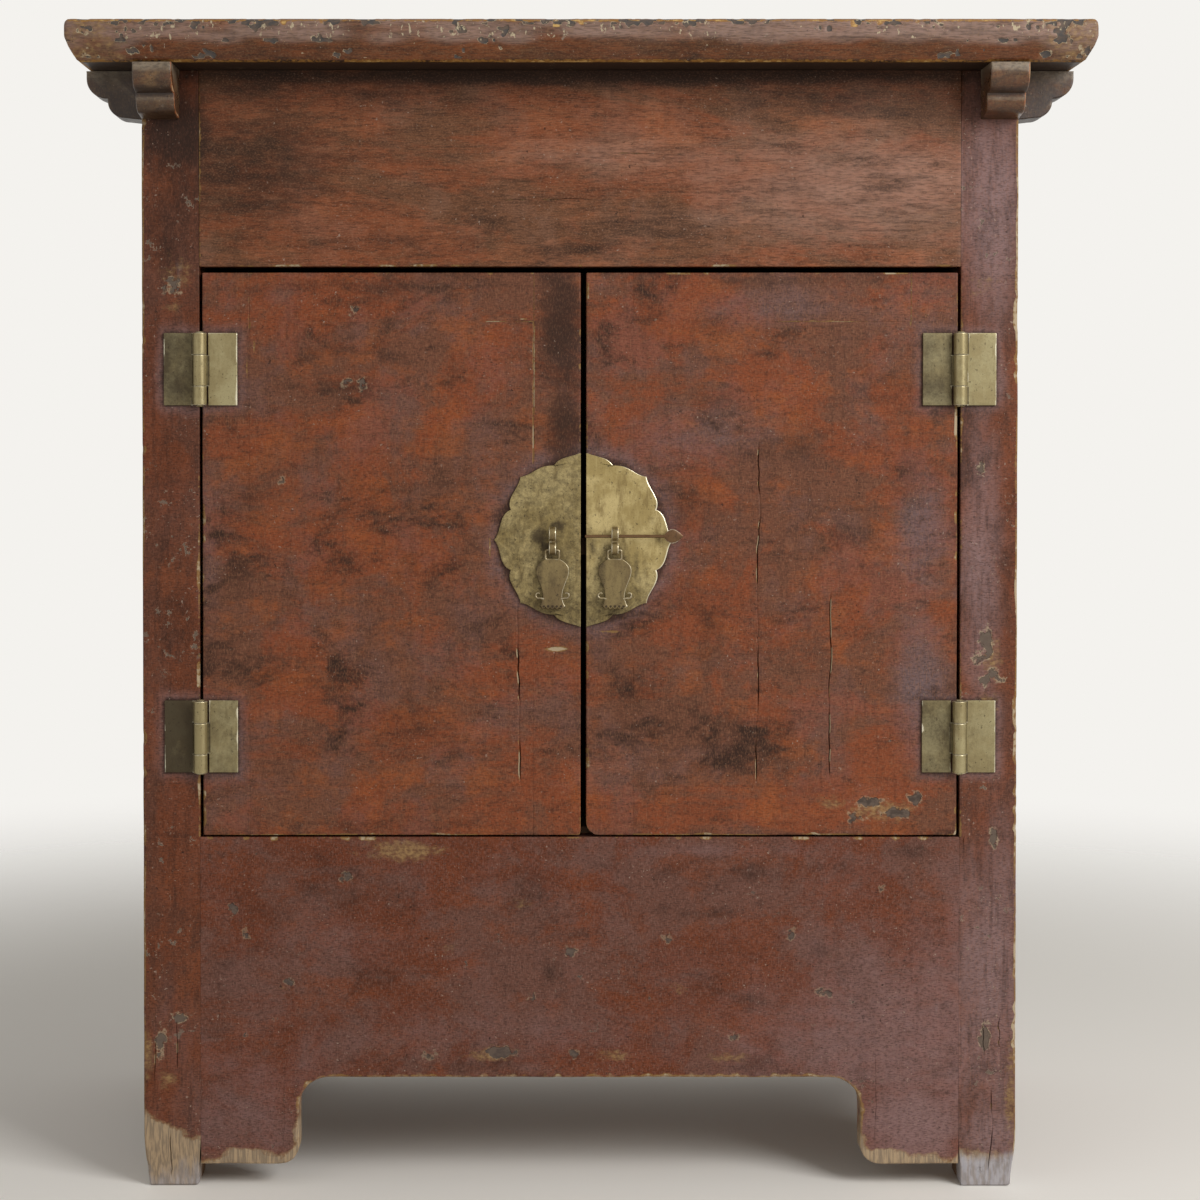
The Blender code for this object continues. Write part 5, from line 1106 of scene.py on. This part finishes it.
for side, sign in (("left", -1), ("right", 1)):
    hingeX, freeX = door[side]
    hingeIn, freeIn = hingeX - sign * door["stile"], freeX + sign * door["stile"]
    ys = (body["front"], body["front"] + door["thick"])
    heights = (door["foot"], door["top"])
    marks = doorMarks[side]
    name = side + "_door_"
    full = [heights + doorWear["edge"]]
    ends = (doorWear["foot"], doorWear["head"])

    def stileTrim(stations, side=side, sign=sign):
        corner = door["corner"][side]
        away = np.clip(corner - (stations - door["foot"]), 0, corner)
        cut = corner - np.sqrt(corner**2 - away**2)
        none = np.zeros(stations.shape)
        return np.stack([none, cut, none, none] if sign < 0 else [cut, none, none, none])

    outerKey, innerKey = ("lowOuter", "highOuter") if sign < 0 else ("highOuter", "lowOuter")
    shell = wornBoard(name + "hinge_stile", (sorted((hingeX, hingeIn)), ys, heights), "z", "-y",
                      {outerKey: full, innerKey: marks["joints"]["hinge"]}, ends)
    piece(name + "hinge_stile_lacquered", name + "hinge_stile", [shell], redLacquer)
    shell = wornBoard(name + "meeting_stile", (sorted((freeX, freeIn)), ys, heights), "z", "-y",
                      {innerKey: full, outerKey: marks["joints"]["meeting"]}, ends, trims=stileTrim)
    piece(name + "meeting_stile_lacquered", name + "meeting_stile", [shell], redLacquer)
    xs = sorted((hingeIn, freeIn))
    for end, low in (("top", door["top"] - door["rail"]), ("bottom", door["foot"])):
        rub = {"highOuter": [(-1, 1) + (0.9, 0.5, 0.8)]} if end == "top" else {"lowOuter": [(-1, 1) + (1.1, 0.8, 1.4)]}
        if end == "top":
            rub["lowOuter"] = marks["joints"]["rail"]
        shell = wornBoard(f"{name}{end}_rail", (xs, ys, (low, low + door["rail"])), "x", "-y", rub,
                          ((0.05, 0), (0.05, 0)))
        piece(f"{name}{end}_rail_lacquered", f"{name}{end}_rail", [shell], redLacquer)
    low, high = door["foot"] + door["rail"], door["top"] - door["rail"]
    panelEdge = {outerKey: marks["joints"]["hinge"], innerKey: marks["joints"]["meeting"]}
    shell = wornBoard(name + "panel", (xs, (body["front"], body["front"] + door["panel"]), (low, high)), "z", "-y",
                      panelEdge, ((0.05, 0), (0.05, 0)), cracks=marks["cracks"], dents=marks["dents"], step=3.2)
    piece(name + "panel_lacquered", name + "panel", [shell], redLacquer)
print("doors carried")

# boards inside stay as the solids are, in bare wood
for node in ("shelf", "deck", "deck_hatch", "well_floor"):
    cad = frame["nodes"][node]
    cad.data.materials.clear()
    cad.data.materials.append(planedWood)
print("inside boards finished")

# hinges: a leaf, its strip rolled round the pin, and a riveted pin
hinge = {"high": 0.072, "knuckles": (0.019, 0.031, 0.022), "barrel": 6.75, "strip": 2.0, "leaf": (7.55, 36.55),
         "axisY": -0.20525, "face": (-0.2003, -0.1983), "wrap": 290, "gap": 0.35}


def cleanBrass(points):
    return {}


def tarnished(amount):
    return lambda points: {"grime_and_shade": amount * (0.8 + 0.4 * latticeNoise(points, 0.02, 77))}


def rolledStrip(axisX, side, low, high):
    # the strip's section: along the leaf's back, round the barrel, and home along its inner side
    turn = -math.pi / 2 - np.linspace(0, math.radians(hinge["wrap"]), 44)
    outside, inside = hinge["barrel"], hinge["barrel"] - hinge["strip"]
    u = np.concatenate([[9.0, 4.5], outside * np.cos(turn), inside * np.cos(turn[::-1]), [4.5, 9.0]]) * mm
    v = np.concatenate([[-6.75, -6.75], outside * np.sin(turn), inside * np.sin(turn[::-1]), [-4.95, -4.95]]) * mm
    height = np.array([low, low + 0.3 * mm, low + 1.2 * mm, (low + high) / 2, high - 1.2 * mm, high - 0.3 * mm, high])
    drawn = np.array([0.3, 0, 0, 0, 0, 0, 0.3])[:, None] * mm
    round_ = np.hypot(u, v)
    scale = np.where(round_ > 6 * mm, 1 - drawn / outside / mm, 1 + 0 * drawn)
    rings = np.stack([axisX + side * u * scale, hinge["axisY"] - v * scale, height[:, None] + 0 * u], -1)
    rub = np.array([0.6, 0.6, 0.3, 0.2, 0.3, 0.6, 0.6])[:, None] * (round_ > 6 * mm)
    groove = smoothStep(3.5 * mm, 6.5 * mm, u) * (v < -3 * mm)
    return carried(rings, {"wear": rub, "grime_and_shade": 0.8 * groove + 0 * rub})


def turnedPin(node):
    # a rod with a low dome at each end, turned about its axis
    low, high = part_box(node)
    head = (high[0] - low[0]) / 2
    dome = np.array([[0.0, 0.35], [0.12, 0.62], [0.4, 0.88], [0.8, 1.0], [1.1, 1.0], [1.2, 0.72]])
    height = np.concatenate([low[2] + dome[:, 0] * mm, (high[2] - dome[:, 0] * mm)[::-1]])
    radius = np.concatenate([dome[:, 1], dome[::-1, 1]]) * head
    angle = np.linspace(0, 2 * math.pi, 29)[:-1]
    rings = np.stack([(low[0] + high[0]) / 2 + radius[:, None] * np.cos(angle),
                      (low[1] + high[1]) / 2 + radius[:, None] * np.sin(angle), height[:, None] + 0 * angle], -1)
    return carried(rings, {"wear": 0.5})


leafTarnish = {"left_upper_post": 0.72, "left_lower_post": 0.92, "left_lower_door": 0.42, "left_upper_door": 0.15,
               "right_upper_post": 0.25, "right_lower_post": 0.32, "right_upper_door": 0.62, "right_lower_door": 0.56}
for side, sign in (("left", -1), ("right", 1)):
    for level, middle in zip(("upper", "lower"), body["hingeHeights"]):
        axisX = sign * body["hinge"]
        foot = middle - hinge["high"] / 2
        heights = foot + np.concatenate([[0], np.cumsum(hinge["knuckles"])])
        for leaf, toward in (("post", sign), ("door", -sign)):
            node = f"{side}_{level}_hinge_{leaf}_leaf"
            xs = sorted(axisX + toward * part * mm for part in hinge["leaf"])
            tarnish = leafTarnish[f"{side}_{level}_{leaf}"]
            clean = 1.1 - tarnish
            bright = {"highOuter": [(0, 2, 0.5, 0.95 * clean, 0.3)], "lowOuter": [(0, 2, 0.5, 0.55 * clean, 0.3)]}
            shells = [wornBoard(node, (xs, hinge["face"], (foot, foot + hinge["high"])), "z", "-y", bright,
                                ((0.5, 0.6 * clean), (0.5, 0.7 * clean)), step=3, wave=0.12, hidden=(0, 0, 0),
                                soil=tarnished(tarnish))]
            for number in ((0, 2) if leaf == "post" else (1,)):
                gap = hinge["gap"] * mm / 2
                shells.append(rolledStrip(axisX, toward, heights[number] + gap, heights[number + 1] - gap))
            piece(node + "_rolled", node, shells, rolledBrass)
        node = f"{side}_{level}_hinge_pin"
        piece(node + "_riveted", node, [turnedPin(node)], rolledBrass)
print("hinges rolled")

# lock plate: one half on each door, its rim a ring of eight pointed petals
lock = {"edge": 2.75, "face": (-0.2001, -0.1983), "radius": 84, "point": 5, "pointReach": 4, "scallop": 5.5,
        "rim": (1.7, 0.9), "end": 1.3}
plateStains = [  # x, z, half width, half height, strength
    (-0.041, 0.652, 0.013, 0.014, 0.9), (-0.022, 0.662, 0.014, 0.009, 0.85), (-0.035, 0.640, 0.010, 0.010, 0.9),
    (-0.012, 0.657, 0.006, 0.010, 0.6), (-0.052, 0.676, 0.004, 0.014, 0.45), (-0.016, 0.625, 0.012, 0.040, 0.55),
    (0.009, 0.640, 0.006, 0.050, 0.45), (0.013, 0.640, 0.004, 0.010, 0.75), (0.040, 0.628, 0.016, 0.028, 0.5),
    (0.056, 0.620, 0.004, 0.024, 0.65), (0.064, 0.618, 0.003, 0.022, 0.5), (0.078, 0.650, 0.006, 0.008, 0.5),
    (0.028, 0.600, 0.020, 0.008, 0.6), (-0.028, 0.598, 0.018, 0.010, 0.6), (0.060, 0.592, 0.012, 0.006, 0.6),
    (-0.060, 0.600, 0.010, 0.010, 0.4), (0.015, 0.700, 0.004, 0.012, 0.35), (-0.005, 0.730, 0.008, 0.008, 0.35),
    (0.072, 0.668, 0.006, 0.010, 0.4), (-0.070, 0.640, 0.006, 0.014, 0.35), (0.022, 0.720, 0.012, 0.006, 0.3),
]


staple = {"x": (-0.0275, 0.0345), "y": -0.2076, "wide": 7, "pinEye": (0.6546, 7.0, 4.4), "pullEye": (0.640, 6.2, 3.6),
          "shank": (0.6438, 0.6500)}


def petalRadius(angle):
    # a circle with a sharp point at every eighth of the turn and a dip halfway between the points
    away = np.abs((np.degrees(angle) + 22.5) % 45 - 22.5)
    bulge = lock["point"] * np.exp(-away / lock["pointReach"]) - lock["scallop"] * (away / 22.5) ** 6
    return (lock["radius"] + bulge) * mm


def lockPlate(sign):
    # lines run from the straight meeting edge to the petal rim, then home along the back
    edge, (front, back) = lock["edge"] * mm, lock["face"]
    angle = np.radians(np.linspace(-90, 90, 721))
    reach = petalRadius(angle)
    angle = angle[reach * np.cos(angle) > edge + lock["end"] * mm]
    rim = petalRadius(angle)[:, None] * np.stack([np.cos(angle), np.sin(angle)], -1)
    start = np.stack([0 * angle + edge, rim[-1, 1] * np.sin(angle) / np.sin(angle[-1])], -1)
    long = np.hypot(*(rim - start).T)[:, None]
    near = np.array([0, 0.08, 0.25, 0.5, 0.8, 1.2, 1.7, 3.0]) * mm
    inner = np.linspace(0, 1, 30)[1:-1]
    nearRim = np.minimum(near, 0.3 * long / (1 + near / mm))
    nearStart = np.minimum(near[:5], 0.3 * long)
    away = np.concatenate([nearStart, nearStart[:, -1:] + (long - nearStart[:, -1:] - nearRim[:, -1:]) * inner,
                           long - nearRim[:, ::-1]], 1)
    wide, deep_ = lock["rim"]
    slope = 1 - np.clip((long - away) / (wide * mm), 0, 1)
    fall = deep_ * mm * (1 - np.sqrt(1 - np.minimum(slope, 1) ** 2))
    slope = 1 - np.clip(away / (0.6 * mm), 0, 1)
    fall = fall + 0.5 * mm * (1 - np.sqrt(1 - slope**2))
    behind = np.linspace(1, 0, 12)
    share = np.concatenate([away / long, np.broadcast_to(behind, (len(angle), 12))], 1)
    depth = np.concatenate([front + fall, np.full((len(angle), 12), back)], 1)
    flatPlace = start[:, None] * (1 - share)[..., None] + rim[:, None] * share[..., None]
    lockX, lockZ = body["lock"]
    rings = np.stack([lockX + sign * flatPlace[..., 0], depth, lockZ + flatPlace[..., 1]], -1)
    columns = away.shape[1]
    rings[:, :columns, 1] += 0.25 * mm * latticeNoise(rings[:, :columns], 0.014, 61) * np.clip((long - away) / mm, 0, 1)
    x, z = rings[..., 0], rings[..., 2]
    dirt_and_shade = np.zeros(x.shape)
    for atX, atZ, wideX, highZ, strong in plateStains:
        dirt_and_shade = np.maximum(dirt_and_shade, strong * np.exp(-((x - atX) / wideX) ** 2 - ((z - atZ) / highZ) ** 2))
    # painted shade: the whole left half darker than the right, and the plate darker towards the bottom
    dirt_and_shade = np.maximum(dirt_and_shade, 0.54 if sign < 0 else 0.12)
    dirt_and_shade = np.maximum(dirt_and_shade, 0.62 * smoothStep(lockZ + 0.01, lockZ - 0.07, z))
    for x0 in staple["x"]:  # dirt and a painted shadow gathered behind each pull, a little to its left
        beside = np.hypot((x - x0 + 0.0015) / 0.0185, (z - 0.616) / 0.030)
        dirt_and_shade = np.maximum(dirt_and_shade, 0.62 * smoothStep(1.5, 0.7, beside))
    # painted highlight: rim wear painted brighter where the rim faces up and to the right
    rimHighlight = smoothStep(-0.3, 0.7, 0.85 * sign * np.cos(angle) + 0.5 * np.sin(angle))[:, None]
    rub = np.concatenate([1.3 * rimHighlight * np.exp(-(long - away) / (1.5 * mm)), np.zeros((len(angle), 12))], 1)
    return carried(rings, {"wear": rub, "grime_and_shade": dirt_and_shade})


def strapRing(centre, outside, bore, wide):
    # a flat strap bent into an eye round the x axis
    x0, y0, z0 = centre
    middle, half = (outside + bore) / 2 * mm, (outside - bore) / 2 * mm
    turn = np.linspace(0, 2 * math.pi, 17)[:-1]
    squared = np.stack([np.cos(turn), np.sin(turn)], -1)
    squared = np.sign(squared) * np.abs(squared) ** 0.5
    angle = np.linspace(0, 2 * math.pi, 37)[:-1][:, None]
    radius = middle + half * squared[:, 1]
    rings = np.stack([x0 + wide / 2 * mm * squared[:, 0] + 0 * angle, y0 + radius * np.cos(angle),
                      z0 + radius * np.sin(angle)], -1)
    return carried(rings, {"wear": 0.75 * (np.abs(squared[:, 0]) > 0.7) + 0 * angle}, closed=True)


def rodAlong(path, radius, closed=False, wear=0.3):
    # a round rod whose middle follows a path in the plane of the front
    ahead = np.gradient(path, axis=0) if not closed else np.roll(path, -1, axis=0) - np.roll(path, 1, axis=0)
    ahead /= np.hypot(ahead[:, 0], ahead[:, 2])[:, None]
    side = np.stack([-ahead[:, 2], 0 * ahead[:, 0], ahead[:, 0]], -1)
    turn = np.linspace(0, 2 * math.pi, 13)[:-1]
    thick = np.broadcast_to(radius, len(path))[:, None, None]
    out = np.array([0.0, -1.0, 0.0])
    rings = path[:, None] + thick * (np.cos(turn)[:, None] * side[:, None] + np.sin(turn)[:, None] * out)
    return carried(rings, {"wear": np.clip(wear * (0.6 + 0.8 * np.sin(turn)), 0, 1)}, closed)


pull = {"bar": 0.6384, "half": 1.2, "loop": (6.75, 4.75, 2.2),
        "outline": [(8.6, 6.2), (9.6, 8.4), (12.5, 12.5), (16, 15.7), (19, 16.5), (23, 16.3), (27, 15.3), (33, 12.9),
                    (38, 11.0), (42, 10.0), (47, 9.6), (52, 10.8), (56, 12.4), (59.2, 12.8)],
        "curl": (13.9, 44.9, 3.0)}


def pullPlate(x0):
    # a vase in outline: its width follows the drop, its section is a flat bar with rounded sides, its foot is toothed
    knots = np.array(pull["outline"])
    drop = np.linspace(knots[0, 0], knots[-1, 0], 70)
    width = np.interp(drop, knots[:, 0], knots[:, 1])
    width = np.convolve(np.pad(width, 2, "edge"), np.ones(5) / 5, "valid")
    lean = np.array([0, 0.05, 0.2, 0.45, 0.75, 1.1])
    side = np.concatenate([np.linspace(0, 1, 25)[:-1], np.ones(6)])
    inset = np.concatenate([np.zeros(24), lean[::-1]])
    across = np.concatenate([-(side[::-1]), side[1:]])
    inset = np.concatenate([inset[::-1], inset[1:]])
    shown = np.abs(width[:, None] - 1.1) * across + np.sign(across) * (1.1 - inset) * (np.abs(across) > 0.999)
    hem = np.where(np.abs(across) > 0.999, np.sqrt(np.clip(1 - ((1.1 - inset) / 1.1) ** 2, 0, 1)), 1.0)
    teeth = 57.0 + 2.2 * np.abs(np.cos(2.5 * math.pi * across)) - 0.8 * across**2
    blend = smoothStep(54, 59.2, drop)[:, None]
    fall = drop[:, None] * (1 - blend) + (drop[:, None] - 59.2 + teeth) * blend
    endHem = np.minimum(1, 0.25 + np.minimum(drop - drop[0], drop[-1] - drop) / 0.8)[:, None]
    dome = 0.75 + 0.25 * np.cos(np.clip(across, -1, 1) * math.pi / 2)
    half = pull["half"] * hem * endHem * dome
    xs, zs = x0 + shown * mm, pull["bar"] - fall * mm
    frontRing = np.stack([xs, staple["y"] - half * mm, zs], -1)
    backRing = np.stack([xs, staple["y"] + half * mm * 0.9, zs], -1)[:, ::-1]
    rub = 0.9 * np.exp(-(width[:, None] - np.abs(shown)) / 1.0) + 0.5 * smoothStep(56, 59, drop)[:, None]
    # painted highlight: rim wear painted stronger on the right-hand side
    rub = rub * (0.25 + 0.75 * smoothStep(-0.6, 0.6, across))
    rub = np.concatenate([rub, 0 * rub], 1)
    rings = np.concatenate([frontRing[:, :], backRing[:, 1:-1]], 1)
    rub = rub[:, :rings.shape[1]]
    stainAndLeftShade = 0.45 * latticeNoise(rings, 0.007, seedOf(f"pull{x0}"))
    for hole in (-8.6, -4.3, 0.0, 4.3, 8.6):
        away = np.hypot(rings[..., 0] - x0 - hole * mm, rings[..., 2] - pull["bar"] + 56 * mm)
        stainAndLeftShade = np.maximum(stainAndLeftShade, 1.4 * smoothStep(1.5 * mm, 0.7 * mm, away))
    # painted shade: the left side of the pull painted darker
    stainAndLeftShade = np.maximum(stainAndLeftShade, 0.6 * smoothStep(-4 * mm, -13 * mm, rings[..., 0] - x0))
    return carried(rings, {"wear": np.clip(rub, 0, 1), "grime_and_shade": stainAndLeftShade})


for side, sign, x0 in (("left", -1, staple["x"][0]), ("right", 1, staple["x"][1])):
    node = side + "_lock_plate"
    piece(node + "_hammered", node, [lockPlate(sign)], oldBrass)
    node = side + "_staple"
    (pinZ, pinOut, pinBore), (pullZ, pullOut, pullBore) = staple["pinEye"], staple["pullEye"]
    halfWide = staple["wide"] / 2 * mm
    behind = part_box(node)
    xs = (x0 - halfWide, x0 + halfWide)
    low, high = staple["shank"]
    shells = [
        strapRing((x0, staple["y"], pinZ), pinOut, pinBore, staple["wide"]),
        strapRing((x0, staple["y"], pullZ), pullOut, pullBore, staple["wide"]),
        wornBoard(node, (xs, (staple["y"] - 0.001, behind[1][1] - 0.0008), (low, high)), "y", "-x",
                  {key: [(-1, 1, 0.5, 0.6, 0.2)] for key in ("lowOuter", "highOuter")}, step=3, wave=0.1,
                  hidden=(0, 0, 0), soil=cleanBrass),
        wornBoard(node + "_clinch", (xs, (body["front"] + door["thick"] + 0.0003, behind[1][1]), (behind[0][2], behind[1][2])),
                  "z", "+y", {key: [(-1, 1, 0.4, 0.4, 0.2)] for key in ("lowOuter", "highOuter")}, step=3, wave=0.1,
                  hidden=(0, 0, 0), soil=tarnished(0.4)),
    ]
    piece(node + "_bent", node, shells, castBrass)
    node = side + "_pull"
    wide, tallHalf, corner = pull["loop"]
    turn = np.linspace(0, 2 * math.pi, 41)[:-1]
    path = np.stack([np.cos(turn), np.sin(turn)], -1)
    path = np.sign(path) * np.minimum(1, np.abs(path) * 1.28)
    loop = np.stack([x0 + path[:, 0] * wide * mm, 0 * turn + staple["y"],
                     pull["bar"] - tallHalf * mm + path[:, 1] * tallHalf * mm], -1)
    shells = [rodAlong(loop, 1.15 * mm, True, 0.38), pullPlate(x0)]
    curlX, curlDrop, curlRound = pull["curl"]
    sweep = np.linspace(math.radians(250), math.radians(485), 30)
    round_ = np.linspace(curlRound, 0.72 * curlRound, 30)
    out = np.concatenate([[8.4, 10.0, 11.5], curlX + round_ * np.cos(sweep)])
    drop = np.concatenate([[48.6, 48.2, 47.9], curlDrop - round_ * np.sin(sweep)])
    for way in (-1, 1):
        curl = np.stack([x0 + way * out * mm, 0 * out + staple["y"] - 0.2 * mm, pull["bar"] - drop * mm], -1)
        shells.append(rodAlong(curl, np.linspace(1.2, 0.8, len(out)) * mm, False, 0.4))
    piece(node + "_cast", node, shells, castBrass)

# lock pin: a drawn rod flattened into a leaf
pin = {"from": 0.00475, "to": 0.0832, "y": -0.2076, "z": 0.652, "radius": 1.5, "leaf": (0.08275, 0.10275), "leafHalf": (7.0, 1.0)}
share = np.linspace(0.02, 0.985, 26)
turn = np.linspace(0, 2 * math.pi, 21)[:-1]
shape = np.stack([np.cos(turn), np.sin(turn)], -1)
leafX = pin["leaf"][0] + share * (pin["leaf"][1] - pin["leaf"][0])
leafHigh = np.sin(math.pi * share**0.85) * pin["leafHalf"][0] * mm
rings = np.stack([leafX[:, None] + 0 * turn, pin["y"] + pin["leafHalf"][1] * mm * shape[:, 1] * (0.4 + 0.6 * np.sin(math.pi * share))[:, None],
                  pin["z"] + np.maximum(leafHigh, 0.3 * mm)[:, None] * shape[:, 0]], -1)
leafShell = carried(rings, {"wear": 0.7 * np.abs(shape[:, 0]) ** 4})
rodX = np.concatenate([[pin["from"], pin["from"] + 0.2 * mm, pin["from"] + 0.6 * mm], np.linspace(pin["from"] + 0.002, pin["to"], 24)])
rodRound = np.concatenate([[0.7, 1.2, 1.5], np.full(24, pin["radius"])]) * mm
rings = np.stack([rodX[:, None] + 0 * turn, pin["y"] + rodRound[:, None] * shape[:, 0], pin["z"] + rodRound[:, None] * shape[:, 1]], -1)
piece("lock_pin_drawn", "lock_pin", [carried(rings, {"wear": 0.3}), leafShell], drawnCopper)
print("lock made")

# stage: pale floor that fades into the pale world, a big soft light from the right and a weak fill
stage = {"floor": "#F1EDE6", "world": "#F4F2EE", "radius": 4.5, "key": 78, "fill": 8, "ambient": 0.40}
turn = np.linspace(0, 2 * math.pi, 97)[:-1]
disc = np.stack([stage["radius"] * np.cos(turn), stage["radius"] * np.sin(turn), 0 * turn - 0.0002], -1)
floorMesh = bpy.data.meshes.new("floor")
floorMesh.from_pydata(disc.tolist(), [], [list(range(len(turn)))])
floor = bpy.data.objects.new("floor", floorMesh)
bpy.context.scene.collection.objects.link(floor)
floorFinish = bpy.data.materials.new("matt_pale_floor")
floorFinish.use_nodes = True
tree = floorFinish.node_tree
shader = tree.nodes["Principled BSDF"]
shader.inputs["Base Color"].default_value = colour(stage["floor"])
shader.inputs["Roughness"].default_value = 0.7
place = add(tree, "TexCoord").outputs["Object"]
away = add(tree, "VectorMath", {"operation": "LENGTH"}, {0: place})
fade = add(tree, "MapRange", {"interpolation_type": "SMOOTHSTEP"}, {
    "Value": away.outputs["Value"], "From Min": 0.9, "From Max": 2.6,
})
clear = add(tree, "BsdfTransparent")
blend = add(tree, "MixShader", {}, {0: fade.outputs[0], 1: shader.outputs[0], 2: clear.outputs[0]})
tree.links.new(blend.outputs[0], tree.nodes["Material Output"].inputs["Surface"])
floorMesh.materials.append(floorFinish)

world = bpy.data.worlds.new("studio")
bpy.context.scene.world = world
world.use_nodes = True
tree = world.node_tree
shown = tree.nodes["Background"]
shown.inputs["Color"].default_value = colour(stage["world"])
shown.inputs["Strength"].default_value = 1.0
soft = add(tree, "Background", {}, {"Color": colour(stage["world"]), "Strength": stage["ambient"]})
path = add(tree, "LightPath")
seen = add(tree, "Math", {"operation": "MAXIMUM"}, {0: path.outputs["Is Camera Ray"], 1: path.outputs["Is Glossy Ray"]})
seen = add(tree, "Math", {"operation": "MAXIMUM"}, {0: seen.outputs[0], 1: path.outputs["Is Transmission Ray"]})
both = add(tree, "MixShader", {}, {0: seen.outputs[0], 1: soft.outputs[0], 2: shown.outputs[0]})
tree.links.new(both.outputs[0], tree.nodes["World Output"].inputs["Surface"])

for name, spot, aim, size, power in (
    ("window_light", (2.0, -2.1, 2.0), (0.05, -0.2, 0.6), 1.6, stage["key"]),
    ("fill_light", (-2.4, -2.6, 1.8), (0.0, -0.2, 0.6), 2.4, stage["fill"]),
):
    lamp = bpy.data.lights.new(name, "AREA")
    lamp.shape = "SQUARE"
    lamp.size = size
    lamp.energy = power
    light = bpy.data.objects.new(name, lamp)
    light.location = spot
    toward = np.array(aim) - np.array(spot)
    flatLength = math.hypot(toward[0], toward[1])
    light.rotation_euler = (math.atan2(flatLength, -toward[2]), 0, math.atan2(-toward[0], toward[1]))
    bpy.context.scene.collection.objects.link(light)
print("stage lit")
